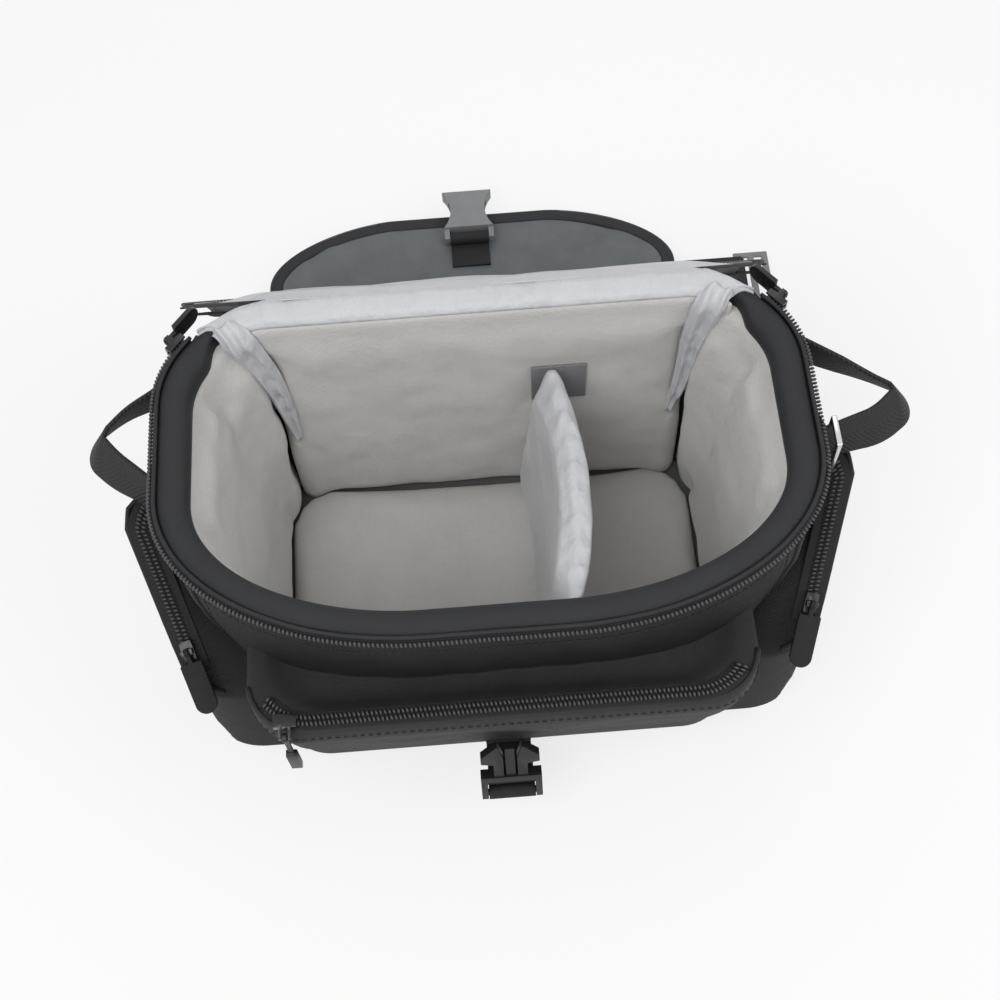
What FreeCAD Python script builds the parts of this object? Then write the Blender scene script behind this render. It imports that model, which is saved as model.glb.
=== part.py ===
import FreeCAD, Part
import math
import os

from FreeCAD import Vector

# Camera shoulder bag, open: +X right, +Y back, +Z up, origin at the middle of the base.
# Lengths are millimetres, angles are degrees.

# ---------------------------------------------------------------- body
rim_half_width = 131.0
rim_back = 80.0
rim_front = -74.0
rim_back_radius = 46.0
rim_front_radius_x = 104.0
rim_front_radius_y = 68.0
rim_height = 150.0
base_half_width = 111.0
base_back = 78.0
base_front = -62.0
base_back_radius = 36.0
base_front_radius_x = 50.0
base_front_radius_y = 40.0
wall_drop = 4.0

fabric = 1.6
pad_thickness = 12.4
board_thickness = 2.0
floor_pad_thickness = 8.0
seam_x = 100.0
pad_seam_x = 92.0
soft_gap = 0.3

roll_width = 11.6
roll_body = 3.0
roll_crown = 2.5
roll_chamfer = 3.0

# ---------------------------------------------------------------- zips
tape_thickness = 0.8
tape_width = 9.0
tape_inset = 0.4
coil_width = 2.2
coil_height = 2.2
slider_length = 9.0
slider_gap = 0.45
slider_wall = 1.0
bail_rise = 2.6
bail_bar_radius = 0.7
bail_post = 1.2
bail_half_width = 2.4
pull_eye_gap = 0.25
pull_eye_wall = 0.9
main_zip_end = 66.0
main_park_angle = 38.0
main_pull_length = 18.0
main_pull_width = 9.0
main_pull_thickness = 2.0

# ---------------------------------------------------------------- lid
lid_lift = 4.2
lid_lining = 1.0
lid_foam = 5.0
lid_cover_thickness = 1.0
lid_edge = 4.0
lid_foam_edge = 8.0
lid_hinge_out = 2.0
lid_hinge_rise = 3.0
lid_foam_setback = 14.0
lid_hinge_half_width = 96.0
lid_corner_start = 28.0
lid_open_angle = 235.0
hinge_strip = 1.0
hinge_strip_height = 13.0

# ---------------------------------------------------------------- flap
flap_thickness = 2.4
flap_hinge_out = 5.0
flap_hinge_drop = 22.0
flap_over_lid = 1.1
flap_rest_height = 10.0
flap_open_slope = 85.0
flap_overhang = 86.5
flap_front_length = 37.0
flap_fold_gap = 0.8
flap_edge = 0.5
flap_taper = 2.5
spine_half_width = 92.0
flap_half_width = 106.0
flap_tip_half_width = 40.0
flap_strip_height = 10.0
flap_strip_gap = 1.4

# ---------------------------------------------------------------- pockets
front_pocket_half_width = 101.0
front_pocket_face = -92.0
front_pocket_face_low = -68.0
front_pocket_top = 112.0
front_pocket_bottom = 6.0
front_pocket_lip = 99.0
front_pocket_corner = 22.0
front_zip_setback = 4.2
front_zip_half_width = 90.0
front_slider_park = 85.0
front_bail_out = 2.6
front_bail_rise = 2.6
cord_half = 0.8
cord_length = 18.0
grip_half = 2.2
grip_length = 16.0
side_pocket_out = 149.0
side_pocket_front_out = 127.0
side_pocket_low = 122.0
side_pocket_front = -65.0
side_pocket_inner = 94.0
side_pocket_back = 36.0
side_pocket_flare_run = 28.0
side_pocket_back_x = 127.0
side_pocket_knee_y = -2.0
side_pocket_shoulder = 96.0
side_pocket_corner = 20.0
side_pocket_drop = 32.0
side_pocket_front_top = 84.0
side_pocket_bottom = 14.0
side_zip_inset = 6.5
side_slider_park = 8.0
side_zip_length = 62.0
side_pull_length = 26.0
side_pull_width = 9.0
pocket_fabric = 1.6

# ---------------------------------------------------------------- straps and buckles
webbing = 1.6
loop_width = 22.0
loop_drop = 27.0
loop_back = 60.0
loop_front = 4.0
loop_reach_left = 29.0
loop_reach_right = 41.0
loop_tab = 12.0
loop_back_inset = 8.0
strap_width = 25.0
strap_thickness = 1.3
strap_anchor_x = 70.0
strap_anchor_top = 66.0
strap_sewn = 24.0
strap_line = 172.0
strap_end_x = 142.0
strap_start_x = -98.0
strap_layers = 4
strap_layer_gap = 0.35
strap_drop_bend = 10.0
strap_drop_run = 14.0
adjuster_bar = 3.4
adjuster_bar_thickness = 1.6
adjuster_length = 18.0
adjuster_rail = 3.0
buckle_web = 20.0
flap_strap_start = 4.0
buckle_width = 26.0
female_length = 28.0
buckle_setback = 17.5
female_thickness = 7.6
female_waist = 4.0
female_wall = 1.4
female_body_start = 5.0
buckle_bar_radius = 1.5
rail_half = 2.4
eye_gap = 0.3
male_base = 13.0
male_prong = 20.0
male_thickness = 5.0
male_prong_width = 4.2
male_bar_y = -98.2
male_bar_z = 31.0
male_lean = 20.0
buckle_strap_top = 20.0
buckle_strap_fold = 10.0
male_guide = 4.0
male_rung_y = 5.2
ring_wire = 2.4
ring_opening = 9.0
ring_out = 10.0
ring_shift = -1.6

# ---------------------------------------------------------------- divider
divider_thickness = 7.0
divider_gap = 0.4
divider_back_x = 26.0
divider_mid_x = 37.0
divider_front_x = 19.0
divider_back_drop = 40.0
divider_front_drop = 14.0
divider_lean = 16.0
hook_thickness = 1.2
hook_width = 24.0
hook_height = 26.0
gusset_thickness = 6.0
gusset_depth = 22.0
gusset_drop = 6.0
gusset_bottom = 40.0

# ---------------------------------------------------------------- worked out from the above
wall_height = rim_height - wall_drop
flap_hinge_height = rim_height - flap_hinge_drop
loop_bottom = rim_height - loop_drop
side_pocket_top = rim_height - side_pocket_drop
divider_back_top = rim_height - divider_back_drop
divider_front_top = rim_height - divider_front_drop
gusset_top = rim_height - gusset_drop
pad_inset = fabric + pad_thickness
board_bottom = fabric
board_top = fabric + board_thickness
floor_top = board_top + floor_pad_thickness
coil_z = rim_height
lid_bottom = rim_height + lid_lift
foam_bottom = lid_bottom + lid_lining
foam_top = foam_bottom + lid_foam
lid_top = foam_top + lid_cover_thickness
lid_hinge = Vector(0, rim_back + lid_hinge_out, rim_height + lid_hinge_rise)
flap_hinge = Vector(0, rim_back + flap_hinge_out, flap_hinge_height)
flap_closed_z = lid_top + flap_over_lid + flap_thickness / 2
spine_length = flap_closed_z - flap_hinge_height
drop = flap_hinge_height - flap_rest_height - flap_thickness / 2
flap_back_length = drop / math.sin(math.radians(flap_open_slope)) - spine_length
flap_mid_length = flap_hinge.y + flap_overhang - flap_back_length


def lerp(a, b, t):
    return a + (b - a) * t


def box(x0, x1, y0, y1, z0, z1):
    return Part.makeBox(x1 - x0, y1 - y0, z1 - z0, Vector(x0, y0, z0))


def polygon(points, travel):
    face = Part.Face(Part.makePolygon(points + [points[0]]))
    return face.extrude(travel)


def prism_x(points, x0, x1):
    return polygon([Vector(x0, y, z) for y, z in points], Vector(x1 - x0, 0, 0))


def prism_y(points, y0, y1):
    return polygon([Vector(x, y0, z) for x, z in points], Vector(0, y1 - y0, 0))


def prism_z(points, z0, z1):
    return polygon([Vector(x, y, z0) for x, y in points], Vector(0, 0, z1 - z0))


def mirrored(shape):
    return shape.mirror(Vector(0, 0, 0), Vector(1, 0, 0))


def turned(shape, pivot, axis, angle):
    copy = shape.copy()
    copy.rotate(pivot, axis, angle)
    return copy


def moved(shape, x, y, z):
    copy = shape.copy()
    copy.translate(Vector(x, y, z))
    return copy


def fused(shapes):
    whole = shapes[0]
    if len(shapes) > 1:
        whole = whole.multiFuse(shapes[1:])
    return whole.removeSplitter()


def save(name, shape):
    shape.exportStep("parts/" + name + ".step")


def edge_line(a, b):
    return Part.LineSegment(a, b).toShape()


def corner(start, knee, end):
    """Quarter-round edge from start to end that is tangent to both sides at the knee."""
    roundness = 0.5523
    curve = Part.BezierCurve()
    curve.setPoles([start, start + (knee - start) * roundness, end + (knee - end) * roundness, end])
    return curve.toShape()


def rounded_outline(half_width, back, front, back_radius, front_x, front_y, z):
    w = half_width
    r = back_radius
    edges = [
        edge_line(Vector(w - r, back, z), Vector(-w + r, back, z)),
        corner(Vector(-w + r, back, z), Vector(-w, back, z), Vector(-w, back - r, z)),
        edge_line(Vector(-w, back - r, z), Vector(-w, front + front_y, z)),
        corner(Vector(-w, front + front_y, z), Vector(-w, front, z), Vector(-w + front_x, front, z)),
        edge_line(Vector(-w + front_x, front, z), Vector(w - front_x, front, z)),
        corner(Vector(w - front_x, front, z), Vector(w, front, z), Vector(w, front + front_y, z)),
        edge_line(Vector(w, front + front_y, z), Vector(w, back - r, z)),
        corner(Vector(w, back - r, z), Vector(w, back, z), Vector(w - r, back, z)),
    ]
    return Part.Wire(edges)


def body_outline(z, inset, level=None):
    """Outline of the bag's wall at height z, moved inwards by inset."""
    t = z / rim_height
    return rounded_outline(
        lerp(base_half_width, rim_half_width, t) - inset,
        lerp(base_back, rim_back, t) - inset,
        lerp(base_front, rim_front, t) + inset,
        lerp(base_back_radius, rim_back_radius, t) - inset,
        lerp(base_front_radius_x, rim_front_radius_x, t) - inset,
        lerp(base_front_radius_y, rim_front_radius_y, t) - inset,
        z if level is None else level,
    )


def body_slice(z0, z1, inset):
    return Part.makeLoft([body_outline(z0, inset), body_outline(z1, inset)], True, True)


def body_band(z0, z1, outer, inner):
    return body_slice(z0, z1, outer).cut(body_slice(z0 - 1, z1 + 1, inner))


def rim_prism(z0, z1, inset):
    """Upright copy of the rim's outline, for what sits on top of the wall."""
    face = Part.Face(body_outline(rim_height, inset, z0))
    return face.extrude(Vector(0, 0, z1 - z0))


def rim_band(z0, z1, outer, inner):
    return rim_prism(z0, z1, outer).cut(rim_prism(z0 - 1, z1 + 1, inner))


def wall_half_width(z):
    return lerp(base_half_width, rim_half_width, z / rim_height)


def wall_back(z):
    return lerp(base_back, rim_back, z / rim_height)


far = 400.0


# ---------------------------------------------------------------- shell, base and pads
def four_panels(ring, split_x):
    front = ring.common(box(-split_x, split_x, -far, 0, -far, far))
    back = ring.common(box(-split_x, split_x, 0, far, -far, far))
    left = ring.common(box(-far, -split_x, -far, far, -far, far))
    right = ring.common(box(split_x, far, -far, far, -far, far))
    return {"front": front, "back": back, "left": left, "right": right}


def make_shell():
    ring = body_band(0, wall_height, 0, fabric)
    for side, panel in four_panels(ring, seam_x).items():
        save("shell_" + side, panel)


def make_base():
    save("base_panel", body_slice(0, board_bottom, fabric))
    save("base_board", body_slice(board_bottom, board_top, fabric))
    save("pad_floor", body_slice(board_top, floor_top, pad_inset + soft_gap))


def make_pads():
    ring = body_band(board_top, wall_height, fabric, pad_inset)
    for side, panel in four_panels(ring, pad_seam_x).items():
        save("pad_" + side, panel)


def make_rim_roll():
    outer = fabric + soft_gap
    shoulder = wall_height + roll_body
    crown = shoulder + roll_crown
    lower = body_band(wall_height, shoulder, outer, pad_inset)
    cap_out = Part.makeLoft(
        [body_outline(shoulder, outer), body_outline(crown, outer + roll_chamfer)], True, True)
    cap_in = Part.makeLoft(
        [body_outline(shoulder, pad_inset), body_outline(crown, pad_inset - roll_chamfer)], True, True)
    save("rim_roll", fused([lower, cap_out.cut(cap_in)]))


def make_gussets():
    """Folds of loose lining at the two back corners of the padded inside."""
    x_outer = wall_half_width(gusset_top) - pad_inset
    hold = body_slice(gusset_bottom, gusset_top, pad_inset + soft_gap)
    fold = box(x_outer - gusset_depth, x_outer, rim_back - pad_inset - gusset_depth,
               rim_back, gusset_bottom, gusset_top)
    core = body_slice(gusset_bottom - 1, gusset_top + 1, pad_inset + soft_gap + gusset_thickness)
    right = fold.common(hold).cut(core)
    save("lining_gussets", Part.Compound([mirrored(right), right]))


# ---------------------------------------------------------------- zips
def slider_body(with_bail=True):
    """Slider along X over a coil whose base is at z = 0; its bar crosses the travel."""
    half = coil_width / 2 + slider_gap
    inside_top = coil_height + slider_gap
    top = inside_top + slider_wall
    block = box(-slider_length / 2, slider_length / 2, -half - slider_wall, half + slider_wall,
                slider_gap, top)
    block = block.cut(box(-slider_length, slider_length, -half, half, -1, inside_top))
    bar_z = top + bail_rise
    if not with_bail:
        return block, bar_z
    bar = Part.makeCylinder(bail_bar_radius, 2 * bail_half_width, Vector(0, -bail_half_width, bar_z),
                            Vector(0, 1, 0))
    parts = [block, bar]
    for y0 in (-bail_half_width, bail_half_width - bail_post):
        parts.append(box(-bail_post, bail_post, y0, y0 + bail_post, top - 0.2,
                         bar_z + bail_bar_radius))
    return fused(parts), bar_z


def pull_tab(length, width, thickness, bar_z):
    """Flat tab along -X with an eye round the slider's bar."""
    eye_inner = bail_bar_radius + pull_eye_gap
    eye_outer = eye_inner + pull_eye_wall
    eye_half = bail_half_width - bail_post - pull_eye_gap
    eye = Part.makeCylinder(eye_outer, 2 * eye_half, Vector(0, -eye_half, bar_z), Vector(0, 1, 0))
    neck = box(-slider_length / 2, 0, -eye_half, eye_half, bar_z - thickness / 2,
               bar_z + thickness / 2)
    blade = box(-length + width / 2, -slider_length / 2, -width / 2, width / 2,
                bar_z - thickness / 2, bar_z + thickness / 2)
    end = Part.makeCylinder(width / 2, thickness, Vector(-length + width / 2, 0, bar_z - thickness / 2),
                            Vector(0, 0, 1))
    hole = Part.makeCylinder(eye_inner, 4 * eye_half, Vector(0, -2 * eye_half, bar_z), Vector(0, 1, 0))
    return fused([eye, neck, blade, end]).cut(hole)


def make_main_zip():
    keep = box(-far, far, -far, main_zip_end, -far, far)
    half = coil_width / 2
    tape = rim_band(wall_height, coil_z + half, tape_inset, tape_inset + tape_thickness)
    save("main_zip_tape", tape.common(keep))
    teeth = rim_band(coil_z - half, coil_z + half, tape_inset - coil_height, tape_inset)
    save("main_zip_teeth", teeth.common(keep))


def placed(shape, origin, x_dir, z_dir):
    """Copy of a shape made at the origin, with its X and Z turned to the given directions."""
    copy = shape.copy()
    rotation = FreeCAD.Rotation(x_dir, z_dir.cross(x_dir), z_dir, "XZY")
    copy.Placement = FreeCAD.Placement(origin, rotation).multiply(copy.Placement)
    return copy


def make_main_sliders():
    """The two rim sliders, parked round the back corners with their tabs pointing on round."""
    pivot = Vector(rim_half_width - rim_back_radius, rim_back - rim_back_radius, 0)
    origin = Vector(rim_half_width - tape_inset, pivot.y, coil_z)
    body, bar_z = slider_body()
    pull = pull_tab(main_pull_length, main_pull_width, main_pull_thickness, bar_z)
    for name, shape in (("main_slider", body), ("main_pull", pull)):
        straight = placed(shape, origin, Vector(0, -1, 0), Vector(1, 0, 0))
        right = turned(straight, pivot, Vector(0, 0, 1), main_park_angle)
        save(name + "_right", right)
        save(name + "_left", mirrored(right))


# ---------------------------------------------------------------- lid
def lid_sheet(z0, z1, inset, back):
    """Part of the closed lid between two heights, with its two hinge corners cut away."""
    hinge_half = lid_hinge_half_width - inset
    sheet = rim_prism(z0, z1, inset).fuse(box(-hinge_half, hinge_half, 0, back, z0, z1))
    sheet = sheet.cut(box(-far, far, back, far, -far, far)).removeSplitter()
    w = rim_half_width - inset
    notch = [(w + 5, lid_corner_start), (w, lid_corner_start),
             (hinge_half, rim_back), (hinge_half, far), (w + 5, far)]
    right = prism_z(notch, z0 - 1, z1 + 1)
    return sheet.cut(right).cut(mirrored(right))


def opened_lid(shape):
    return turned(shape, lid_hinge, Vector(1, 0, 0), -lid_open_angle)


def make_lid():
    hinge_edge = lid_hinge.y - soft_gap
    foam_back = lid_hinge.y - lid_foam_setback
    lining = lid_sheet(lid_bottom, foam_bottom, lid_edge, hinge_edge)
    save("lid_lining", opened_lid(lining))
    foam = lid_sheet(foam_bottom, foam_top, lid_foam_edge, foam_back)
    save("lid_foam", opened_lid(foam))
    cover = lid_sheet(foam_top, lid_top, lid_foam_edge, foam_back)
    save("lid_cover", opened_lid(cover))
    front_only = box(-far, far, -far, lid_corner_start, -far, far)
    ring = rim_band(foam_bottom, foam_bottom + tape_thickness, 0.2, lid_foam_edge).common(front_only)
    save("lid_zip_tape", opened_lid(ring))
    bead = rim_band(foam_bottom - coil_height, foam_bottom, 0.2, 0.2 + coil_width).common(front_only)
    save("lid_zip_teeth", opened_lid(bead))


def make_hinge_strips():
    lid_strip = box(-lid_hinge_half_width, lid_hinge_half_width, rim_back, rim_back + hinge_strip,
                    rim_height - hinge_strip_height, rim_height)
    save("lid_hinge_strip", lid_strip)
    flap_strip = box(-spine_half_width, spine_half_width, wall_back(flap_hinge_height) - 2,
                     flap_hinge.y - flap_strip_gap, flap_hinge_height - flap_strip_height,
                     flap_hinge_height - flap_fold_gap / 2)
    flap_strip = flap_strip.cut(body_slice(0, rim_height, 0))
    save("flap_seam_strip", flap_strip)


# ---------------------------------------------------------------- weather flap
def flap_panel(length, near_half, far_half, tip_drop=0.0):
    """Flap section from its hinge at the origin along +Y, thin at both folds, lining up (+Z)."""
    g = flap_fold_gap / 2
    e = flap_edge / 2
    t = flap_thickness / 2
    s = g + flap_taper
    end_e = t if tip_drop else e
    side = [(g, -e), (s, -t), (length - s, -t), (length - g, -end_e), (length - g, end_e),
            (length - s, t), (s, t), (g, e)]
    panel = prism_x(side, -far, far)
    if tip_drop:
        z0 = -flap_thickness
        a = Vector(near_half, 0, z0)
        b = Vector(near_half, length - tip_drop, z0)
        c = Vector(far_half, length, z0)
        knee = Vector(near_half, length, z0)
        na, nb, nc, nk = (Vector(-v.x, v.y, v.z) for v in (a, b, c, knee))
        wire = Part.Wire([edge_line(a, b), corner(b, knee, c), edge_line(c, nc), corner(nc, nk, nb),
                          edge_line(nb, na), edge_line(na, a)])
        plan = Part.Face(wire).extrude(Vector(0, 0, 2 * flap_thickness))
    else:
        plan = prism_z([(-near_half, 0), (near_half, 0), (far_half, length), (-far_half, length)],
                       -flap_thickness, flap_thickness)
    return panel.common(plan)


def flap_hinges():
    slope = math.radians(flap_open_slope)
    down = Vector(0, math.cos(slope), -math.sin(slope))
    back_hinge = flap_hinge + down * spine_length
    mid_hinge = back_hinge + down * flap_back_length
    front_hinge = mid_hinge + Vector(0, flap_mid_length, 0)
    return back_hinge, mid_hinge, front_hinge


def make_flap():
    back_hinge, mid_hinge, front_hinge = flap_hinges()
    x = Vector(1, 0, 0)
    o = Vector(0, 0, 0)
    spine = turned(flap_panel(spine_length, spine_half_width, spine_half_width + 4), o, x,
                   -flap_open_slope)
    save("flap_spine", moved(spine, *flap_hinge))
    back = turned(flap_panel(flap_back_length, spine_half_width + 4, flap_half_width), o, x,
                  -flap_open_slope)
    save("flap_back", moved(back, *back_hinge))
    mid = flap_panel(flap_mid_length, flap_half_width, flap_half_width)
    save("flap_mid", moved(mid, *mid_hinge))
    front = flap_panel(flap_front_length, flap_half_width, flap_tip_half_width, flap_front_length - 1)
    save("flap_front", moved(front, *front_hinge))
    print("flap hinges", [list(v) for v in (flap_hinge, back_hinge, mid_hinge, front_hinge)])


def strap_eye(bar_radius, half_width):
    inner = bar_radius + eye_gap
    tube = Part.makeCylinder(inner + strap_thickness, 2 * half_width, Vector(-half_width, 0, 0),
                             Vector(1, 0, 0))
    return tube, Part.makeCylinder(inner, 4 * half_width, Vector(-2 * half_width, 0, 0),
                                   Vector(1, 0, 0))


def female_bar_place():
    front_hinge = flap_hinges()[2]
    lining = front_hinge.z + flap_thickness / 2
    return Vector(0, front_hinge.y + flap_front_length - buckle_setback,
                  lining + soft_gap + female_thickness / 2)


def make_flap_strap():
    """Webbing sewn on the flap's lining, with its end looped round the buckle's bar."""
    front_hinge = flap_hinges()[2]
    bar = female_bar_place()
    half = buckle_web / 2
    lining = front_hinge.z + flap_thickness / 2
    tail = box(-half, half, front_hinge.y + flap_strap_start, bar.y, lining, lining + strap_thickness)
    tube, hole = strap_eye(buckle_bar_radius, half)
    whole = fused([tail, moved(tube, *bar)]).cut(moved(hole, *bar))
    save("flap_strap", whole)


def make_female_buckle():
    """Side-release socket: bar at the origin, body along +Y with an open mouth."""
    w = buckle_width / 2
    t = female_thickness / 2
    start = female_body_start
    waist_y = (start + female_length) / 2
    right = [Vector(w, start, -t), Vector(w - female_waist, waist_y, -t), Vector(w, female_length, -t)]
    left = [Vector(-v.x, v.y, v.z) for v in right]
    edges = [Part.Arc(right[0], right[1], right[2]).toShape(), edge_line(right[2], left[2]),
             Part.Arc(left[2], left[1], left[0]).toShape(), edge_line(left[0], right[0])]
    body = Part.Face(Part.Wire(edges)).extrude(Vector(0, 0, 2 * t))
    cavity_half = w - female_waist - female_wall
    cavity = box(-cavity_half, cavity_half, start + female_wall, female_length + 1,
                 -t + female_wall, t - female_wall)
    body = body.cut(cavity)
    window_y0 = start + female_wall + 2
    windows = box(-far, far, window_y0, female_length - 5, -t + female_wall, t - female_wall)
    body = body.cut(windows)
    rail_x = buckle_web / 2 + eye_gap
    bar = Part.makeCylinder(buckle_bar_radius, 2 * w, Vector(-w, 0, 0), Vector(1, 0, 0))
    rail = box(rail_x, w, -buckle_bar_radius, start + 1, -rail_half, rail_half)
    whole = fused([body, bar, rail, mirrored(rail)])
    save("buckle_female", moved(whole, *female_bar_place()))


# ---------------------------------------------------------------- front pocket
def front_pocket_block(inset):
    w = front_pocket_half_width - inset
    z0 = front_pocket_bottom + inset
    z1 = front_pocket_top - inset
    face = front_pocket_face + inset
    low = front_pocket_face_low + inset
    side = [(low, z0), (face, front_pocket_lip), (face, z1), (0, z1), (0, z0)]
    block = prism_x(side, -w, w)
    r = front_pocket_corner
    plan = rounded_outline(w, 0, face, 1.0, r, r, z0 - 1)
    return block.common(Part.Face(plan).extrude(Vector(0, 0, z1 - z0 + 2)))


def make_front_pocket():
    body = body_slice(-1, rim_height, 0)
    pouch = front_pocket_block(0).cut(body).cut(front_pocket_block(pocket_fabric))
    wall = front_pocket_block(pocket_fabric).cut(body_slice(-1, rim_height, -pocket_fabric))
    lining = front_pocket_block(0).cut(body).cut(wall)
    zip_y = front_pocket_face + front_zip_setback
    slit = box(-front_zip_half_width, front_zip_half_width, zip_y - 0.5, zip_y + 0.5,
               front_pocket_top - pocket_fabric - 1, front_pocket_top + 1)
    save("front_pocket", pouch.common(lining).cut(slit))
    tape_half = min(tape_width, 2 * front_zip_setback - 1.0) / 2
    top = front_pocket_top
    tape = box(-front_zip_half_width, front_zip_half_width, zip_y - tape_half, zip_y + tape_half, top,
               top + tape_thickness)
    save("front_zip_tape", tape)
    base = top + tape_thickness
    teeth = box(-front_zip_half_width, front_zip_half_width, zip_y - coil_width / 2,
                zip_y + coil_width / 2, base, base + coil_height)
    save("front_zip_teeth", teeth)
    body_shape, bar_z = slider_body(False)
    origin = Vector(-front_slider_park, zip_y, base)
    bar = Vector(-front_slider_park, front_pocket_face - front_bail_out, base + front_bail_rise)
    bail = front_bail(origin, bar)
    slider = fused([moved(body_shape, *origin), bail])
    save("front_slider", slider)
    save("front_pull", cord_pull(bar))
    print("front pull axis", list(bar))


def front_bail(origin, bar):
    """Two arms from the slider out past the pocket's edge, with a bar along X between them."""
    half = bail_half_width
    rod = Part.makeCylinder(bail_bar_radius, 2 * half, Vector(bar.x - half, bar.y, bar.z),
                            Vector(1, 0, 0))
    arms = [rod]
    slider_side = origin.y - coil_width / 2 - slider_gap - slider_wall / 2
    for x0 in (bar.x - half, bar.x + half - bail_post):
        arms.append(box(x0, x0 + bail_post, bar.y - bail_bar_radius, slider_side,
                        bar.z - bail_bar_radius, bar.z + bail_bar_radius))
    return fused(arms)


def cord_pull(bar):
    """Cord loop with a moulded end that hangs straight down from the bar."""
    inner = bail_bar_radius + pull_eye_gap
    outer = inner + pull_eye_wall
    half = bail_half_width - bail_post - pull_eye_gap
    eye = Part.makeCylinder(outer, 2 * half, Vector(bar.x - half, bar.y, bar.z), Vector(1, 0, 0))
    hole = Part.makeCylinder(inner, 4 * half, Vector(bar.x - 2 * half, bar.y, bar.z), Vector(1, 0, 0))
    cord = box(bar.x - half, bar.x + half, bar.y - cord_half, bar.y + cord_half, bar.z - cord_length,
               bar.z - inner)
    grip_top = bar.z - cord_length + 1
    grip = box(bar.x - grip_half, bar.x + grip_half, bar.y - grip_half, bar.y + cord_half,
               grip_top - grip_length, grip_top)
    return fused([eye, cord, grip]).cut(hole)


# ---------------------------------------------------------------- side pockets
def side_zip_frame():
    """Start, direction down the zip and outward normal of the right side pocket's slanting top."""
    run = side_pocket_knee_y - side_pocket_front
    fall = side_pocket_top - side_pocket_front_top
    along = Vector(side_pocket_front_out - side_pocket_out, -run, -fall).normalize()
    normal = Vector(0, -fall, run).normalize()
    start = Vector(side_pocket_out - side_zip_inset, side_pocket_knee_y, side_pocket_top)
    return start, along, normal


def side_pocket_block(inset):
    x0 = side_pocket_inner
    out = side_pocket_out - inset
    front = side_pocket_front + inset
    back = side_pocket_back - inset
    flare_y = back - side_pocket_flare_run
    r = side_pocket_corner
    a = Vector(x0, front, -1)
    knee = Vector(side_pocket_front_out - inset, front, -1)
    b = Vector(knee.x - r, front, -1)
    slant = Vector(out, side_pocket_knee_y, -1)
    c = knee + (slant - knee).normalize() * r
    d = Vector(out, flare_y, -1)
    e = Vector(side_pocket_back_x - inset, back, -1)
    f = Vector(x0, back, -1)
    wire = Part.Wire([edge_line(a, b), corner(b, knee, c), edge_line(c, slant), edge_line(slant, d),
                      edge_line(d, e), edge_line(e, f), edge_line(f, a)])
    plan = Part.Face(wire).extrude(Vector(0, 0, side_pocket_top + 2))
    z0 = side_pocket_bottom + inset
    z1 = side_pocket_top - inset
    drop_front = side_pocket_front_top - inset
    side = prism_x([(side_pocket_front, z0), (side_pocket_front, drop_front),
                    (side_pocket_knee_y, z1), (side_pocket_back, z1), (side_pocket_back, z0)],
                   x0, side_pocket_out)
    shoulder = side_pocket_shoulder
    face = prism_y([(x0, z0), (side_pocket_low - inset, z0), (out, shoulder), (out, z1), (x0, z1)],
                   side_pocket_front, side_pocket_back)
    return plan.common(side).common(face)


def strip(origin, along, normal, x0, x1, half_width, thickness):
    bar = box(x0, x1, -half_width, half_width, 0, thickness)
    return placed(bar, origin, along, normal)


def make_side_pocket(name, flip):
    body = body_slice(-1, rim_height, 0)
    core = side_pocket_block(pocket_fabric).cut(body_slice(-1, rim_height, -pocket_fabric))
    start, along, normal = side_zip_frame()
    length = side_zip_length
    slit = strip(start - normal * 4, along, normal, 4, length, 0.5, 8)
    pouch = side_pocket_block(0).cut(body).cut(core).cut(slit).cut(front_pocket_block(0))
    save(name + "_pocket", flip(pouch))
    half = min(tape_width, 2 * side_zip_inset - 2) / 2
    tape = strip(start, along, normal, 1, length, half, tape_thickness)
    save(name + "_zip_tape", flip(tape))
    base = start + normal * tape_thickness
    teeth = strip(base, along, normal, 1, length, coil_width / 2, coil_height)
    save(name + "_zip_teeth", flip(teeth))
    body_shape, bar_z = slider_body()
    pull = pull_tab(side_pull_length, side_pull_width, main_pull_thickness, bar_z)
    origin = base + along * (length - side_slider_park)
    save(name + "_slider", flip(placed(body_shape, origin, along * -1, normal)))
    save(name + "_pull", flip(placed(pull, origin, along * -1, normal)))
    print(name, "zip", list(along), "bar", list(origin + normal * bar_z), "side", list(normal.cross(along)))


# ---------------------------------------------------------------- side loops and shoulder strap
def arc_wire(p1, p2, p3, thickness, z):
    """Outline of a ribbon of the given thickness along the arc through three plan points."""
    a, b, c = (Vector(x, y, z) for x, y in (p1, p2, p3))
    centre = Part.Arc(a, b, c).toShape().Curve.Center
    half = thickness / 2
    outer = [v + (v - centre).normalize() * half for v in (a, b, c)]
    inner = [v - (v - centre).normalize() * half for v in (a, b, c)]
    return Part.Wire([Part.Arc(outer[0], outer[1], outer[2]).toShape(), edge_line(outer[2], inner[2]),
                      Part.Arc(inner[2], inner[1], inner[0]).toShape(), edge_line(inner[0], outer[0])])


def arc_ribbon(p1, p2, p3, thickness, z0, z1):
    wire = arc_wire(p1, p2, p3, thickness, z0)
    return Part.Face(wire).extrude(Vector(0, 0, z1 - z0))


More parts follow.
